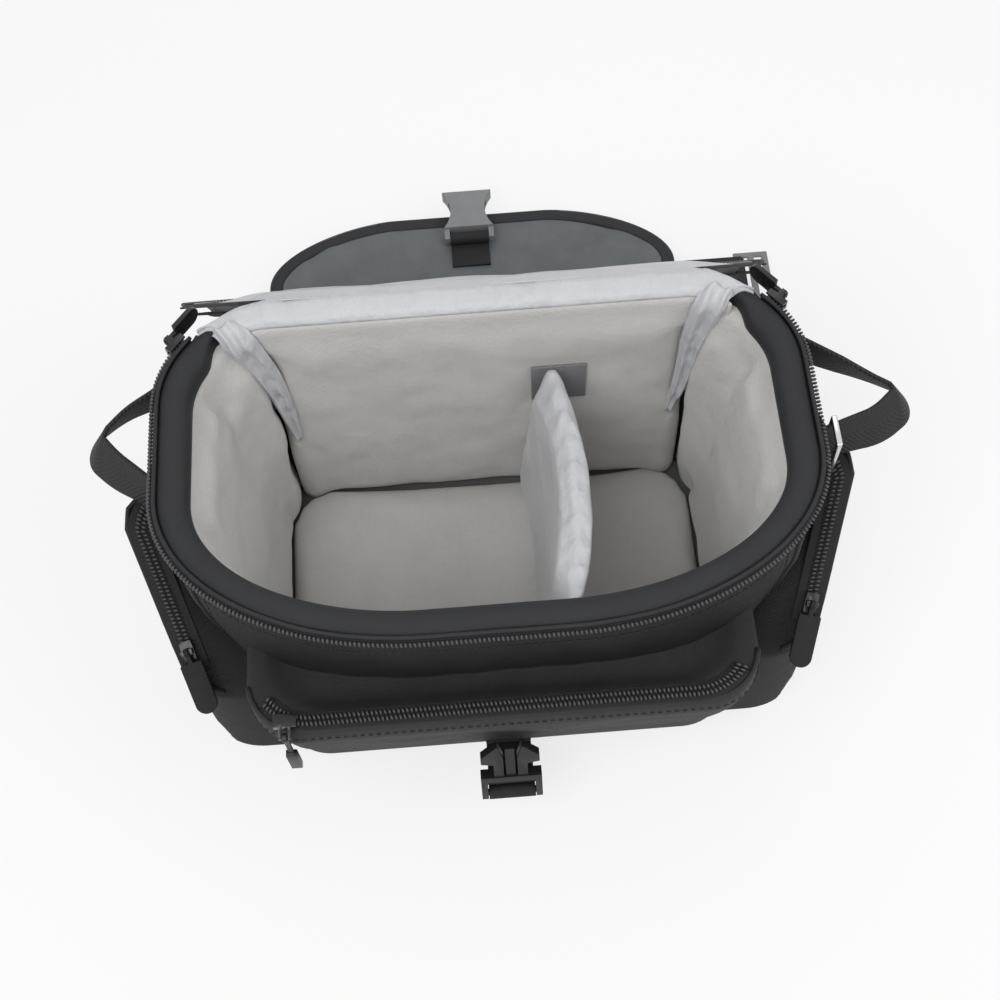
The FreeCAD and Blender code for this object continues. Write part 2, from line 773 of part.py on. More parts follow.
def make_side_loop(name, reach, flip):
    z0 = loop_bottom
    z1 = loop_bottom + loop_width
    wall = wall_half_width((z0 + z1) / 2)
    ribbon = arc_ribbon((wall - loop_back_inset, loop_back), (wall + reach, (loop_back + loop_front) / 2),
                        (wall, loop_front), webbing, z0, z1)
    band = body_band(z0, z1, -webbing, 0)
    rear = band.common(box(0, far, loop_back, loop_back + loop_tab, z0, z1))
    front = band.common(box(0, far, loop_front - loop_tab, loop_front, z0, z1))
    keep = box(0, far, -far, far, z0, z1)
    ribbon = ribbon.common(keep).cut(body_slice(0, rim_height, 0))
    parts = ribbon.fuse([rear, front]).removeSplitter()
    biggest = sorted(parts.Solids, key=lambda s: s.Volume)[-1]
    save(name, flip(biggest))


def make_side_ring():
    """Flat wire ring round the right loop's front end."""
    z0 = loop_bottom - soft_gap
    z1 = loop_bottom + loop_width + soft_gap
    half = ring_opening / 2
    w = ring_wire
    outer = box(-w / 2, w / 2, -half - w, half + w, z0 - w, z1 + w)
    inner = box(-w, w, -half, half, z0, z1)
    frame = outer.cut(inner)
    x = wall_half_width(loop_bottom) + ring_out
    save("side_ring", moved(frame, x, loop_front + ring_shift, 0))


def ribbon_path(points, thickness, make_prism, lo, hi):
    """Straight webbing runs between points in a plane, joined by round folds."""
    parts = []
    half = thickness / 2
    for (u0, v0), (u1, v1) in zip(points, points[1:]):
        run = math.hypot(u1 - u0, v1 - v0)
        nu = -(v1 - v0) / run * half
        nv = (u1 - u0) / run * half
        parts.append(make_prism([(u0 + nu, v0 + nv), (u1 + nu, v1 + nv), (u1 - nu, v1 - nv),
                                 (u0 - nu, v0 - nv)], lo, hi))
    return parts


def joint_rods_x(points, thickness, x0, x1):
    return [Part.makeCylinder(thickness / 2, x1 - x0, Vector(x0, y, z), Vector(1, 0, 0))
            for y, z in points[1:-1]]


def make_strap():
    half = strap_thickness / 2
    wall_top = wall_back(strap_anchor_top) + half + soft_gap
    wall_low = wall_back(strap_anchor_top - strap_sewn) + half + soft_gap
    end_y = strap_line + strap_width / 2
    path = [(wall_top, strap_anchor_top), (wall_low, strap_anchor_top - strap_sewn),
            (wall_low + 2, strap_drop_bend), (wall_low + strap_drop_run, half), (end_y, half)]
    for side, centre in (("left", -strap_anchor_x), ("right", strap_anchor_x)):
        x0 = centre - strap_width / 2
        x1 = centre + strap_width / 2
        parts = ribbon_path(path, strap_thickness, prism_x, x0, x1)
        parts += joint_rods_x(path, strap_thickness, x0, x1)
        patch = box(x0, x1, wall_back(0), wall_top, strap_anchor_top - strap_sewn, strap_anchor_top)
        patch = patch.cut(body_slice(-1, rim_height, 0))
        save("strap_drop_" + side, fused(parts + [patch]))
    pitch = strap_thickness + strap_layer_gap
    y0 = strap_line - strap_width / 2
    y1 = strap_line + strap_width / 2
    z = pitch
    layers = []
    for layer in range(strap_layers):
        last = layer == strap_layers - 1
        layers.append(box(strap_start_x, strap_end_x, y0, y1, z, z + strap_thickness))
        if not last:
            step = pitch if layer < strap_layers - 2 else pitch + adjuster_bar_thickness + strap_layer_gap
            at_right = (strap_layers - layer) % 2 == 0
            x0 = strap_end_x if at_right else strap_start_x - strap_thickness
            layers.append(box(x0, x0 + strap_thickness, y0, y1, z, z + step + strap_thickness))
            z += step
    save("strap_folded", fused(layers))
    top_layer = z
    bar_z0 = top_layer - strap_layer_gap - adjuster_bar_thickness
    bar_z1 = bar_z0 + adjuster_bar_thickness
    rail_y = strap_width / 2 + soft_gap
    frame_x0 = strap_end_x - soft_gap - adjuster_bar
    frame_x1 = frame_x0 + adjuster_length
    adjuster = box(frame_x0, frame_x1, strap_line - rail_y - adjuster_rail,
                   strap_line + rail_y + adjuster_rail, bar_z0, bar_z1)
    slot = (adjuster_length - 3 * adjuster_bar) / 2
    for k in range(2):
        x0 = frame_x0 + adjuster_bar + k * (slot + adjuster_bar)
        adjuster = adjuster.cut(box(x0, x0 + slot, strap_line - rail_y, strap_line + rail_y,
                                    bar_z0 - 1, bar_z1 + 1))
    save("strap_adjuster", adjuster)
    print("strap top", top_layer + strap_thickness, "flap underside", flap_rest_height)


# ---------------------------------------------------------------- front buckle
def pocket_face(z):
    t = (z - front_pocket_bottom) / (front_pocket_lip - front_pocket_bottom)
    return lerp(front_pocket_face_low, front_pocket_face, t)


def make_buckle_strap(bar, half):
    """Webbing sewn to the foot of the pocket's face and looped round the front buckle's bar."""
    t = strap_thickness / 2
    eye_line = buckle_bar_radius + eye_gap + t
    path = [(pocket_face(buckle_strap_top) - t, buckle_strap_top),
            (pocket_face(buckle_strap_fold) - t, buckle_strap_fold), (bar.y, bar.z - eye_line)]
    tube, hole = strap_eye(buckle_bar_radius, half)
    parts = ribbon_path(path, strap_thickness, prism_x, -half, half)
    parts += joint_rods_x(path, strap_thickness, -half, half)
    whole = fused(parts + [moved(tube, *bar)]).cut(moved(hole, *bar))
    save("buckle_strap", whole.cut(front_pocket_block(0)))


def make_front_buckle():
    half = buckle_web / 2
    bar_place = Vector(0, male_bar_y, male_bar_z)
    make_buckle_strap(bar_place, half)
    w = buckle_width / 2
    t = male_thickness / 2
    rail_x = half + eye_gap
    bar = Part.makeCylinder(buckle_bar_radius, 2 * w, Vector(-w, 0, 0), Vector(1, 0, 0))
    rail = box(rail_x, w, -buckle_bar_radius, male_base, -t, t)
    cross = box(-w, w, male_base - 3, male_base, -t, t)
    rung = box(-w, w, male_rung_y, male_rung_y + 2.2, -t, 0)
    guide = box(-male_guide / 2, male_guide / 2, male_base - 1, male_base + male_prong - 2, -t + 1, t - 1)
    prong_out = w - female_waist - female_wall - 0.4
    prong = prism_z([(prong_out - male_prong_width, male_base - 1), (prong_out, male_base - 1),
                     (prong_out, male_base + 8), (w - 0.6, male_base + 9),
                     (w - 0.6, male_base + 13), (prong_out - 2, male_base + male_prong),
                     (prong_out - male_prong_width, male_base + 12)], -t + 0.6, t - 0.6)
    male = fused([bar, rail, mirrored(rail), cross, rung, guide, prong, mirrored(prong)])
    male = turned(male, Vector(0, 0, 0), Vector(1, 0, 0), 90 - male_lean)
    save("buckle_male", moved(male, *bar_place))
    print("male bar", list(bar_place))


# ---------------------------------------------------------------- divider
def make_divider():
    inset = pad_inset + divider_gap
    z0 = floor_top + divider_gap
    y_back = rim_back
    y_front = rim_front
    z1 = divider_front_top
    lean = divider_lean * (z1 - z0) / rim_height
    upper = arc_wire((divider_back_x, y_back), (divider_mid_x, 0), (divider_front_x, y_front),
                     divider_thickness, z1)
    lower = arc_wire((divider_back_x - lean, y_back), (divider_mid_x - lean, 0),
                     (divider_front_x - lean, y_front), divider_thickness, z0)
    board = Part.makeLoft([lower, upper], True, True)
    board = board.common(body_slice(z0 - 1, z1 + 1, inset))
    top = prism_x([(y_front, z0), (y_front, divider_front_top), (y_back, divider_back_top),
                   (y_back, z0)], -far, far)
    board = board.common(top)
    tabs = []
    for y0, y1, x0, z_top in ((0, far, divider_back_x - 4, divider_back_top),
                              (-far, 0, divider_front_x - hook_width / 2, divider_front_top)):
        z_low = z_top - hook_height
        band = body_band(z_low, z_top, inset, inset + hook_thickness)
        tabs.append(band.common(box(x0, x0 + hook_width, y0, y1, -far, far)))
    for tab in tabs:
        board = board.cut(tab)
    save("divider_board", board)
    save("divider_hooks", Part.Compound(tabs))


def same(shape):
    return shape


os.makedirs("parts", exist_ok=True)
make_shell()
make_base()
make_pads()
make_rim_roll()
make_gussets()
make_main_zip()
make_main_sliders()
make_lid()
make_hinge_strips()
make_flap()
make_flap_strap()
make_female_buckle()
make_front_pocket()
make_side_pocket("right", same)
make_side_pocket("left", mirrored)
make_side_loop("side_loop_right", loop_reach_right, same)
make_side_loop("side_loop_left", loop_reach_left, mirrored)
make_side_ring()
make_strap()
make_front_buckle()
make_divider()
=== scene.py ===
import math
import bmesh
import bpy
import numpy as np
from mathutils import Matrix, Vector, noise


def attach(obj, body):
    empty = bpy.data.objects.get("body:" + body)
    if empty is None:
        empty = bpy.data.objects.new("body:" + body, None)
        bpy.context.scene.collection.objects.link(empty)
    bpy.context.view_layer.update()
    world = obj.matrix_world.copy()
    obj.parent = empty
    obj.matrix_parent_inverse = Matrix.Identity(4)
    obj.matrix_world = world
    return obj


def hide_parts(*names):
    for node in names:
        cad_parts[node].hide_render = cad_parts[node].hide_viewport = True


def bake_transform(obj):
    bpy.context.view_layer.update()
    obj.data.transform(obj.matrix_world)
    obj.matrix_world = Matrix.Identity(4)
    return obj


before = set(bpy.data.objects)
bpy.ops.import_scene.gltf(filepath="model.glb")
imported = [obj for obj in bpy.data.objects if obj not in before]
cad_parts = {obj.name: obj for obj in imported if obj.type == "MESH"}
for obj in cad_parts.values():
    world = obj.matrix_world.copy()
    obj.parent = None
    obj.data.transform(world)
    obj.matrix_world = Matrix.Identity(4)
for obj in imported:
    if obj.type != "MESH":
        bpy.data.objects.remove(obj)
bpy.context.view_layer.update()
print("frame loaded:", len(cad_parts), "nodes")

upward = Vector((0, 0, 1))
sideways = Vector((1, 0, 0))

# All lengths are metres, in the frame's own axes.
bag = {
    "rimHalf": 0.131, "rimBack": 0.080, "rimFront": -0.074, "rimBackRadius": 0.046,
    "rimFrontX": 0.104, "rimFrontY": 0.068, "rimZ": 0.150,
    "baseHalf": 0.111, "baseBack": 0.078, "baseFront": -0.062, "baseBackRadius": 0.036,
    "baseFrontX": 0.050, "baseFrontY": 0.040, "wallZ": 0.146,
    "padInset": 0.0140,
}


# small tools for meshes

def mix(a, b, t):
    return a + (b - a) * t


def ease(t):
    t = min(max(t, 0.0), 1.0)
    return t * t * (3 - 2 * t)


def wobble(x, y, z, scale, seed=0.0):
    return noise.noise(Vector((x / scale + seed, y / scale - seed, z / scale + 2 * seed)))


def outline(z, inset=0.0):
    # plan of the bag's wall at height z, from the middle of the back round by the left
    keys = ("Half", "Back", "BackRadius", "FrontX", "FrontY", "Front")
    sizes = [mix(bag["base" + key], bag["rim" + key], z / bag["rimZ"]) for key in keys]
    half, back, rb, fx, fy = (size - inset for size in sizes[:5])
    front = sizes[5] + inset

    def line(a, b, n):
        return [(mix(a[0], b[0], i / n), mix(a[1], b[1], i / n)) for i in range(n)]

    def bend(a, k, b, n):
        c = 0.5523
        p = [a, (mix(a[0], k[0], c), mix(a[1], k[1], c)), (mix(b[0], k[0], c), mix(b[1], k[1], c)), b]
        out = []
        for i in range(n):
            s = i / n
            w = ((1 - s) ** 3, 3 * s * (1 - s) ** 2, 3 * s * s * (1 - s), s ** 3)
            out.append((sum(w[j] * p[j][0] for j in range(4)), sum(w[j] * p[j][1] for j in range(4))))
        return out

    left = line((0, back), (-half + rb, back), 22)
    left += bend((-half + rb, back), (-half, back), (-half, back - rb), 20)
    left += line((-half, back - rb), (-half, front + fy), 16)
    left += bend((-half, front + fy), (-half, front), (-half + fx, front), 34)
    left += line((-half + fx, front), (0, front), 12)
    right = [(-x, y) for x, y in reversed(left[1:])]
    return left + [(0, front)] + right


def ringAt(z, inset=0.0, level=None):
    return [(x, y, z if level is None else level) for x, y in outline(z, inset)]


def placed(name, data):
    thing = bpy.data.objects.new(name, data)
    bpy.context.scene.collection.objects.link(thing)
    return thing


def smoothFaces(mesh):
    mesh.polygons.foreach_set("use_smooth", [True] * len(mesh.polygons))


def rawMesh(name, points, faces, edges=()):
    mesh = bpy.data.meshes.new(name)
    mesh.from_pydata([tuple(p) for p in points], edges, faces)
    mesh.update()
    return mesh


def cleanMesh(mesh, weld=0.0):
    work = bmesh.new()
    work.from_mesh(mesh)
    if weld:
        bmesh.ops.remove_doubles(work, verts=work.verts, dist=weld)
    bmesh.ops.recalc_face_normals(work, faces=work.faces)
    work.to_mesh(mesh)
    work.free()
    smoothFaces(mesh)
    return mesh


def tubeFaces(rows, count, closed):
    # skin over rows of points, with a cap at each end unless it closes on itself
    faces = []
    for r in range(rows if closed else rows - 1):
        a, b = r * count, ((r + 1) % rows) * count
        for i in range(count):
            j = (i + 1) % count
            faces.append((a + i, a + j, b + j, b + i))
    if not closed:
        faces += [tuple(reversed(range(count))), tuple(range((rows - 1) * count, rows * count))]
    return faces


def loft(name, rings, closed=False):
    faces = tubeFaces(len(rings), len(rings[0]), closed)
    return placed(name, cleanMesh(rawMesh(name, [p for ring in rings for p in ring], faces), 1e-7))


def quilt(name, upper, lower):
    # closed sheet between two grids of the same size
    rows, cols = len(upper), len(upper[0])
    points = [p for row in upper for p in row] + [p for row in lower for p in row]
    base = rows * cols
    faces = []
    for r in range(rows - 1):
        for c in range(cols - 1):
            a, b, d, e = r * cols + c, r * cols + c + 1, (r + 1) * cols + c + 1, (r + 1) * cols + c
            faces.append((a, b, d, e))
            faces.append((base + e, base + d, base + b, base + a))
    rim = [(0, c) for c in range(cols)] + [(r, cols - 1) for r in range(1, rows)]
    rim += [(rows - 1, c) for c in range(cols - 2, -1, -1)] + [(r, 0) for r in range(rows - 2, 0, -1)]
    for (r0, c0), (r1, c1) in zip(rim, rim[1:] + rim[:1]):
        a, b = r0 * cols + c0, r1 * cols + c1
        faces.append((a, base + a, base + b, b))
    return placed(name, cleanMesh(rawMesh(name, points, faces), 1e-7))


def directions(path):
    return [(b - a).normalized() for a, b in zip(path[:1] + path[:-1], path[1:] + path[-1:])]


def frames(path, facing):
    # points of a path with their direction, facing and side vectors
    path = [Vector(p) for p in path]
    out = []
    for i, (p, along) in enumerate(zip(path, directions(path))):
        up = Vector(facing[i]) if isinstance(facing, list) else Vector(facing)
        up = (up - along * up.dot(along)).normalized()
        out.append((p, along, up, along.cross(up)))
    return out


def section(width, height, corner=0.3, steps=3):
    # rounded rectangle round the origin, width across and height up
    r = corner * height
    points = []
    for cx, cy, a0 in ((1, 1, 0), (-1, 1, 90), (-1, -1, 180), (1, -1, 270)):
        for k in range(steps + 1):
            a = math.radians(a0 + 90 * k / steps)
            points.append((cx * (width / 2 - r) + r * math.cos(a), cy * (height / 2 - r) + r * math.sin(a)))
    return points


def sweep(name, path, facing, shape):
    # runs a section along a path; the UV map is in metres along and across
    rows = frames(path, facing)
    count = len(shape)
    points, lengths, run = [], [], 0.0
    for i, (p, along, up, side) in enumerate(rows):
        run += (p - rows[max(i - 1, 0)][0]).length
        lengths.append(run)
        points += [p + side * x + up * y for x, y in shape]
    mesh = rawMesh(name, points, tubeFaces(len(rows), count, False))
    layer = mesh.uv_layers.new(name="UVMap")
    for loop, uv in zip(mesh.loops, layer.data):
        uv.uv = (lengths[loop.vertex_index // count], shape[loop.vertex_index % count][0])
    return placed(name, cleanMesh(mesh))


def sweepRun(name, run, shape):
    return sweep(name, [p for p, n in run], [n for p, n in run], shape)


def rounded(points, radius, steps=5):
    # a run of straight pieces with its corners rounded
    points = [Vector(p) for p in points]
    out = [points[0]]
    for a, b, c in zip(points, points[1:], points[2:]):
        u, v = (a - b), (c - b)
        r = min(radius, u.length * 0.45, v.length * 0.45)
        p, q = b + u.normalized() * r, b + v.normalized() * r
        for k in range(steps + 1):
            s = k / steps
            out.append(p * (1 - s) ** 2 + b * 2 * s * (1 - s) + q * s * s)
    out.append(points[-1])
    return out


def divided(points, step):
    # the same run with points at most one step apart
    out = [Vector(points[0])]
    for a, b in zip(points, points[1:]):
        a, b = Vector(a), Vector(b)
        n = max(1, int(math.ceil((b - a).length / step)))
        out += [a.lerp(b, (k + 1) / n) for k in range(n)]
    return out


def applyAll(piece):
    bpy.context.view_layer.update()
    graph = bpy.context.evaluated_depsgraph_get()
    mesh = bpy.data.meshes.new_from_object(piece.evaluated_get(graph))
    piece.modifiers.clear()
    piece.data = mesh
    return piece


def joined(name, pieces):
    work = bmesh.new()
    for piece in pieces:
        work.from_mesh(piece.data)
        bpy.data.objects.remove(piece)
    mesh = bpy.data.meshes.new(name)
    work.to_mesh(mesh)
    work.free()
    return placed(name, mesh)


def mirroredCopy(piece, name):
    mesh = piece.data.copy()
    mesh.transform(Matrix.Scale(-1, 4, (1, 0, 0)))
    mesh.flip_normals()
    return placed(name, mesh)


def fromNode(node, name, bevel=0.0, segments=2):
    # a copy of a CAD node with its flat faces whole again and its edges eased
    work = bmesh.new()
    work.from_mesh(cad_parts[node].data)
    bmesh.ops.remove_doubles(work, verts=work.verts, dist=2e-6)
    bmesh.ops.dissolve_limit(work, angle_limit=math.radians(3), verts=work.verts, edges=work.edges)
    mesh = bpy.data.meshes.new(name)
    work.to_mesh(mesh)
    work.free()
    piece = placed(name, mesh)
    if bevel:
        modifier = piece.modifiers.new("Bevel", "BEVEL")
        modifier.width = bevel
        modifier.segments = segments
        modifier.limit_method = "ANGLE"
        modifier.angle_limit = math.radians(28)
        applyAll(piece)
    smoothFaces(piece.data)
    piece.data.set_sharp_from_angle(angle=math.radians(38))
    return piece


def dressed(piece, finish, *nodes):
    material, slot = finishes[finish]
    piece.data.materials.clear()
    piece.data.materials.append(material)
    if nodes:
        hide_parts(*nodes)
    return piece


def finished(piece, finish, body, *nodes):
    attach(dressed(piece, finish, *nodes), body)


# node trees: arithmetic on sockets, and one way to add any other node

class Value:
    def __init__(self, tree, socket):
        self.tree = tree
        self.socket = socket

    def math(self, operation, other=None, swap=False):
        node = self.tree.nodes.new("ShaderNodeMath")
        node.operation = operation
        terms = [self, other] if not swap else [other, self]
        for slot, term in zip(node.inputs, terms):
            if isinstance(term, Value):
                self.tree.links.new(term.socket, slot)
            elif term is not None:
                slot.default_value = term
        return Value(self.tree, node.outputs[0])

    def __add__(self, other):
        return self.math("ADD", other)

    __radd__ = __add__

    def __sub__(self, other):
        return self.math("SUBTRACT", other)

    def __rsub__(self, other):
        return self.math("SUBTRACT", other, swap=True)

    def __mul__(self, other):
        return self.math("MULTIPLY", other)

    __rmul__ = __mul__

    def __truediv__(self, other):
        return self.math("DIVIDE", other)

    def __pow__(self, other):
        return self.math("POWER", other)


class Finish:
    def __init__(self, name, colour, roughness, **fixed):
        self.material = bpy.data.materials.new(name)
        self.material.use_nodes = True
        self.tree = self.material.node_tree
        self.shader = self.tree.nodes["Principled BSDF"]
        self.shader.inputs["Base Color"].default_value = (*colour, 1)
        self.shader.inputs["Roughness"].default_value = roughness
        for socket, amount in fixed.items():
            self.shader.inputs[socket.replace("_", " ")].default_value = amount
        self.material.diffuse_color = (*colour, 1)
        self.colour = colour

    def node(self, kind, settings=None, inputs=None, output=0):
        node = self.tree.nodes.new(kind)
        for key, setting in (settings or {}).items():
            setattr(node, key, setting)
        for key, value in (inputs or {}).items():
            if isinstance(value, Value):
                self.tree.links.new(value.socket, node.inputs[key])
            else:
                node.inputs[key].default_value = value
        return Value(self.tree, node.outputs[output])

    def coords(self, kind="Object", scale=(1, 1, 1)):
        spot = self.node("ShaderNodeTexCoord", output={"Object": 3, "UV": 2}[kind])
        return self.node("ShaderNodeMapping", None, {"Vector": spot, "Scale": scale})

    def speckle(self, place, scale, detail=3.0, roughness=0.55):
        return self.node("ShaderNodeTexNoise", None,
                         {"Vector": place, "Scale": scale, "Detail": detail, "Roughness": roughness})

    def axes(self, place):
        parts = self.tree.nodes.new("ShaderNodeSeparateXYZ")
        self.tree.links.new(place.socket, parts.inputs[0])
        return [Value(self.tree, out) for out in parts.outputs]

    def bySide(self, pattern, pitch):
        # a flat pattern laid on each of the three planes and chosen by which way the face looks
        x, y, z = self.axes(self.coords())
        nx, ny, nz = self.axes(self.node("ShaderNodeNewGeometry", output=1))
        weights = [n.math("ABSOLUTE") ** 5 for n in (nx, ny, nz)]
        total = weights[0] + weights[1] + weights[2]
        turns = 2 * math.pi / pitch
        planes = ((y, z), (x, z), (x, y))
        layers = [pattern(a * turns, b * turns) * share for (a, b), share in zip(planes, weights)]
        return (layers[0] + layers[1] + layers[2]) / total

    def shade(self, amount, dark, light):
        # base colour between a darker and a lighter version, chosen by amount 0 to 1
        a = [min(c * dark, 1) for c in self.colour]
        b = [min(c * light, 1) for c in self.colour]
        node = self.tree.nodes.new("ShaderNodeMix")
        node.data_type = "RGBA"
        self.tree.links.new(amount.socket, node.inputs["Factor"])
        node.inputs[6].default_value = (*a, 1)
        node.inputs[7].default_value = (*b, 1)
        self.tree.links.new(node.outputs[2], self.shader.inputs["Base Color"])

    def rough(self, amount):
        self.tree.links.new(amount.socket, self.shader.inputs["Roughness"])

    def relief(self, height, depth, strength=1.0):
        bump = self.node("ShaderNodeBump", None,
                         {"Height": height, "Distance": depth, "Strength": strength})
        self.tree.links.new(bump.socket, self.shader.inputs["Normal"])


def plainWeave(u, v):
    return u.math("SINE") * v.math("SINE") * 0.5 + 0.5


def twill(u, v):
    return ((u + v).math("SINE") * 0.5 + 0.5) * 0.7 + ((u - v).math("SINE") * 0.5 + 0.5) * 0.3


def woven(name, colour, roughness, pitch, depth, pattern=plainWeave, mottle=0.35, nap=0.0, glossAndPaintedGlint=0.5):
    # threads at a pitch, a broad unevenness, and raised threads that are glossier and painted lighter in
    # the base colour as a painted highlight
    cloth = Finish(name, colour, roughness, Specular_IOR_Level=0.26)
    threads = cloth.bySide(pattern, pitch)
    place = cloth.coords()
    broad = cloth.speckle(place, 60.0, 4.0)
    fine = cloth.speckle(place, 1400.0, 2.0)
    # raised threads painted lighter than the grooves in the base colour: painted highlight, stronger with
    # more glint; the broad and fine speckles are random tone
    cloth.shade(threads * (1 - mottle) * 0.6 + broad * mottle + fine * 0.3,
                0.62 - 0.3 * glossAndPaintedGlint, 1.42 + 1.1 * glossAndPaintedGlint)
    cloth.rough((1 - threads) * 0.2 * glossAndPaintedGlint + broad * 0.14 + (roughness - 0.12 - 0.08 * glossAndPaintedGlint))
    cloth.relief(threads * 0.75 + fine * (0.25 + nap), depth)
    return cloth.material


def brushed(name, colour, **fixed):
    # brushed lining with a short nap that lies in soft patches
    cloth = Finish(name, colour, 0.95, **fixed)
    place = cloth.coords()
    patches = cloth.speckle(place, 55.0, 5.0, 0.62)
    tufts = cloth.speckle(place, 620.0, 4.0, 0.7)
    hairs = cloth.speckle(place, 2300.0, 2.0, 0.6)
    cloth.shade(patches * 0.55 + tufts * 0.45, 0.84, 1.16)
    cloth.relief(tufts * 0.65 + hairs * 0.35, 0.0007)
    return cloth.material


def satinCloth(name, colour, roughness, **fixed):
    # close smooth weave: hardly any thread, but soft creases at two sizes
    cloth = Finish(name, colour, roughness, **fixed)
    x, y, z = cloth.axes(cloth.coords())
    ribs = ((x + y * 0.35 + z * 0.2) * (2 * math.pi / 0.00055)).math("SINE") * 0.5 + 0.5
    place = cloth.coords()
    broad = cloth.speckle(place, 38.0, 5.0, 0.6)
    creases = cloth.speckle(cloth.coords(scale=(1.0, 0.45, 0.6)), 85.0, 3.0, 0.5)
    puckers = (cloth.speckle(place, 210.0, 2.0, 0.5) * 2 - 1).math("ABSOLUTE")
    cloth.shade(broad * 0.85 + ribs * 0.15, 0.90, 1.08)
    cloth.rough(broad * 0.25 + (roughness - 0.12))
    cloth.relief(creases * 1.2 + puckers * 0.16 + ribs * 0.02, 0.0030, 0.75)
    return cloth.material


def ribbed(name, colour, roughness, pitch, **fixed):
    # webbing: slanting ribs that meet along its middle, read from the UV map in metres
    cloth = Finish(name, colour, roughness, Specular_IOR_Level=0.3, **fixed)
    u, v, w = cloth.axes(cloth.coords("UV"))
    turns = 2 * math.pi / pitch
    ribs = ((u + v.math("ABSOLUTE") * 0.9) * turns).math("SINE") * 0.5 + 0.5
    cords = (v * (2 * math.pi / 0.0016)).math("SINE") * 0.5 + 0.5
    fuzz = cloth.speckle(cloth.coords(), 1500.0)
    # ribs and cords painted lighter than the grooves in the base colour: painted highlight; the fuzz is
    # random tone
    cloth.shade(ribs * 0.45 + cords * 0.25 + fuzz * 0.3, 0.35, 2.6)
    cloth.relief(ribs * 0.55 + cords * 0.3 + fuzz * 0.15, 0.00045)
    return cloth.material


def moulded(name, colour, roughness, grain=0.00004, **fixed):
    plastic = Finish(name, colour, roughness, Specular_IOR_Level=0.4, **fixed)
    place = plastic.coords()
    broad = plastic.speckle(place, 140.0, 4.0)
    fine = plastic.speckle(place, 2600.0, 2.0)
    plastic.shade(broad, 0.82, 1.2)
    plastic.rough(broad * 0.22 + fine * 0.08 + (roughness - 0.14))
    plastic.relief(fine * 0.7 + broad * 0.3, grain)
    return plastic.material


# each finish is a material with the slot that it fills
finishes = {
    "shell": (woven("shellWeave", (0.0115, 0.0115, 0.012), 0.74, 0.0012, 0.0005, glossAndPaintedGlint=0.9),
              "shell_fabric"),
    "trim": (woven("trimCloth", (0.0165, 0.017, 0.0185), 0.62, 0.0008, 0.00016, twill, 0.5), "trim_fabric"),
    # the front pocket wears a lighter copy of the shell cloth, with more glint, to match its brighter face:
    # painted light
    "pocket": (woven("pocketWeave", (0.018, 0.018, 0.019), 0.66, 0.0011, 0.0004, plainWeave, glossAndPaintedGlint=1.0),
               "shell_fabric"),
    "tricot": (brushed("tricotNap", (0.60, 0.592, 0.575), Sheen_Weight=0.2, Sheen_Roughness=0.5), "lining"),
    "satin": (satinCloth("satinLining", (0.575, 0.58, 0.605), 0.40, Sheen_Weight=0.1), "satin"),
    "flap": (woven("flapNylon", (0.105, 0.114, 0.122), 0.5, 0.0007, 0.00012, twill, 0.6, glossAndPaintedGlint=0.3),
             "flap_lining"),
    "webbing": (ribbed("strapWebbing", (0.0125, 0.0125, 0.0135), 0.66, 0.0022), "webbing"),
    "tape": (woven("zipTapeWeave", (0.012, 0.012, 0.013), 0.7, 0.0009, 0.0002, twill), "zip_tape"),
    "hooks": (woven("hookTape", (0.19, 0.19, 0.20), 0.85, 0.0016, 0.0008, plainWeave, 0.3, 0.4, glossAndPaintedGlint=0.6),
              "trim_fabric"),
    # the coil's colour is set lighter than its dark nylon to stand for the highlights on its teeth: painted
    # highlight
    "coil": (moulded("coilNylon", (0.060, 0.060, 0.063), 0.30), "zip_coil"),
    "slider": (moulded("sliderPaint", (0.016, 0.016, 0.017), 0.3, Metallic=0.5, Coat_Weight=0.3),
               "slider_metal"),
    "rubber": (moulded("pullRubber", (0.010, 0.010, 0.011), 0.36, 0.00008), "pull_rubber"),
    "black": (moulded("acetalBlack", (0.012, 0.012, 0.013), 0.36, 0.00005), "buckle_plastic"),
    "grey": (moulded("acetalGrey", (0.20, 0.205, 0.21), 0.42, 0.00005), "buckle_grey"),
    "chrome": (moulded("ringPlate", (0.62, 0.62, 0.63), 0.2, 0.00002, Metallic=1.0), "ring_metal"),
}
finishes["tab"] = (finishes["tape"][0], "webbing")
print("finishes made:", len(finishes))


# geometry nodes: teeth and stitches along a path

def step(tree, kind, settings=None, links=None):
    node = tree.nodes.new(kind)
    for key, setting in (settings or {}).items():
        setattr(node, key, setting)
    for key, value in (links or {}).items():
        if isinstance(value, bpy.types.NodeSocket):
            tree.links.new(value, node.inputs[key])
        else:
            node.inputs[key].default_value = value
    return node


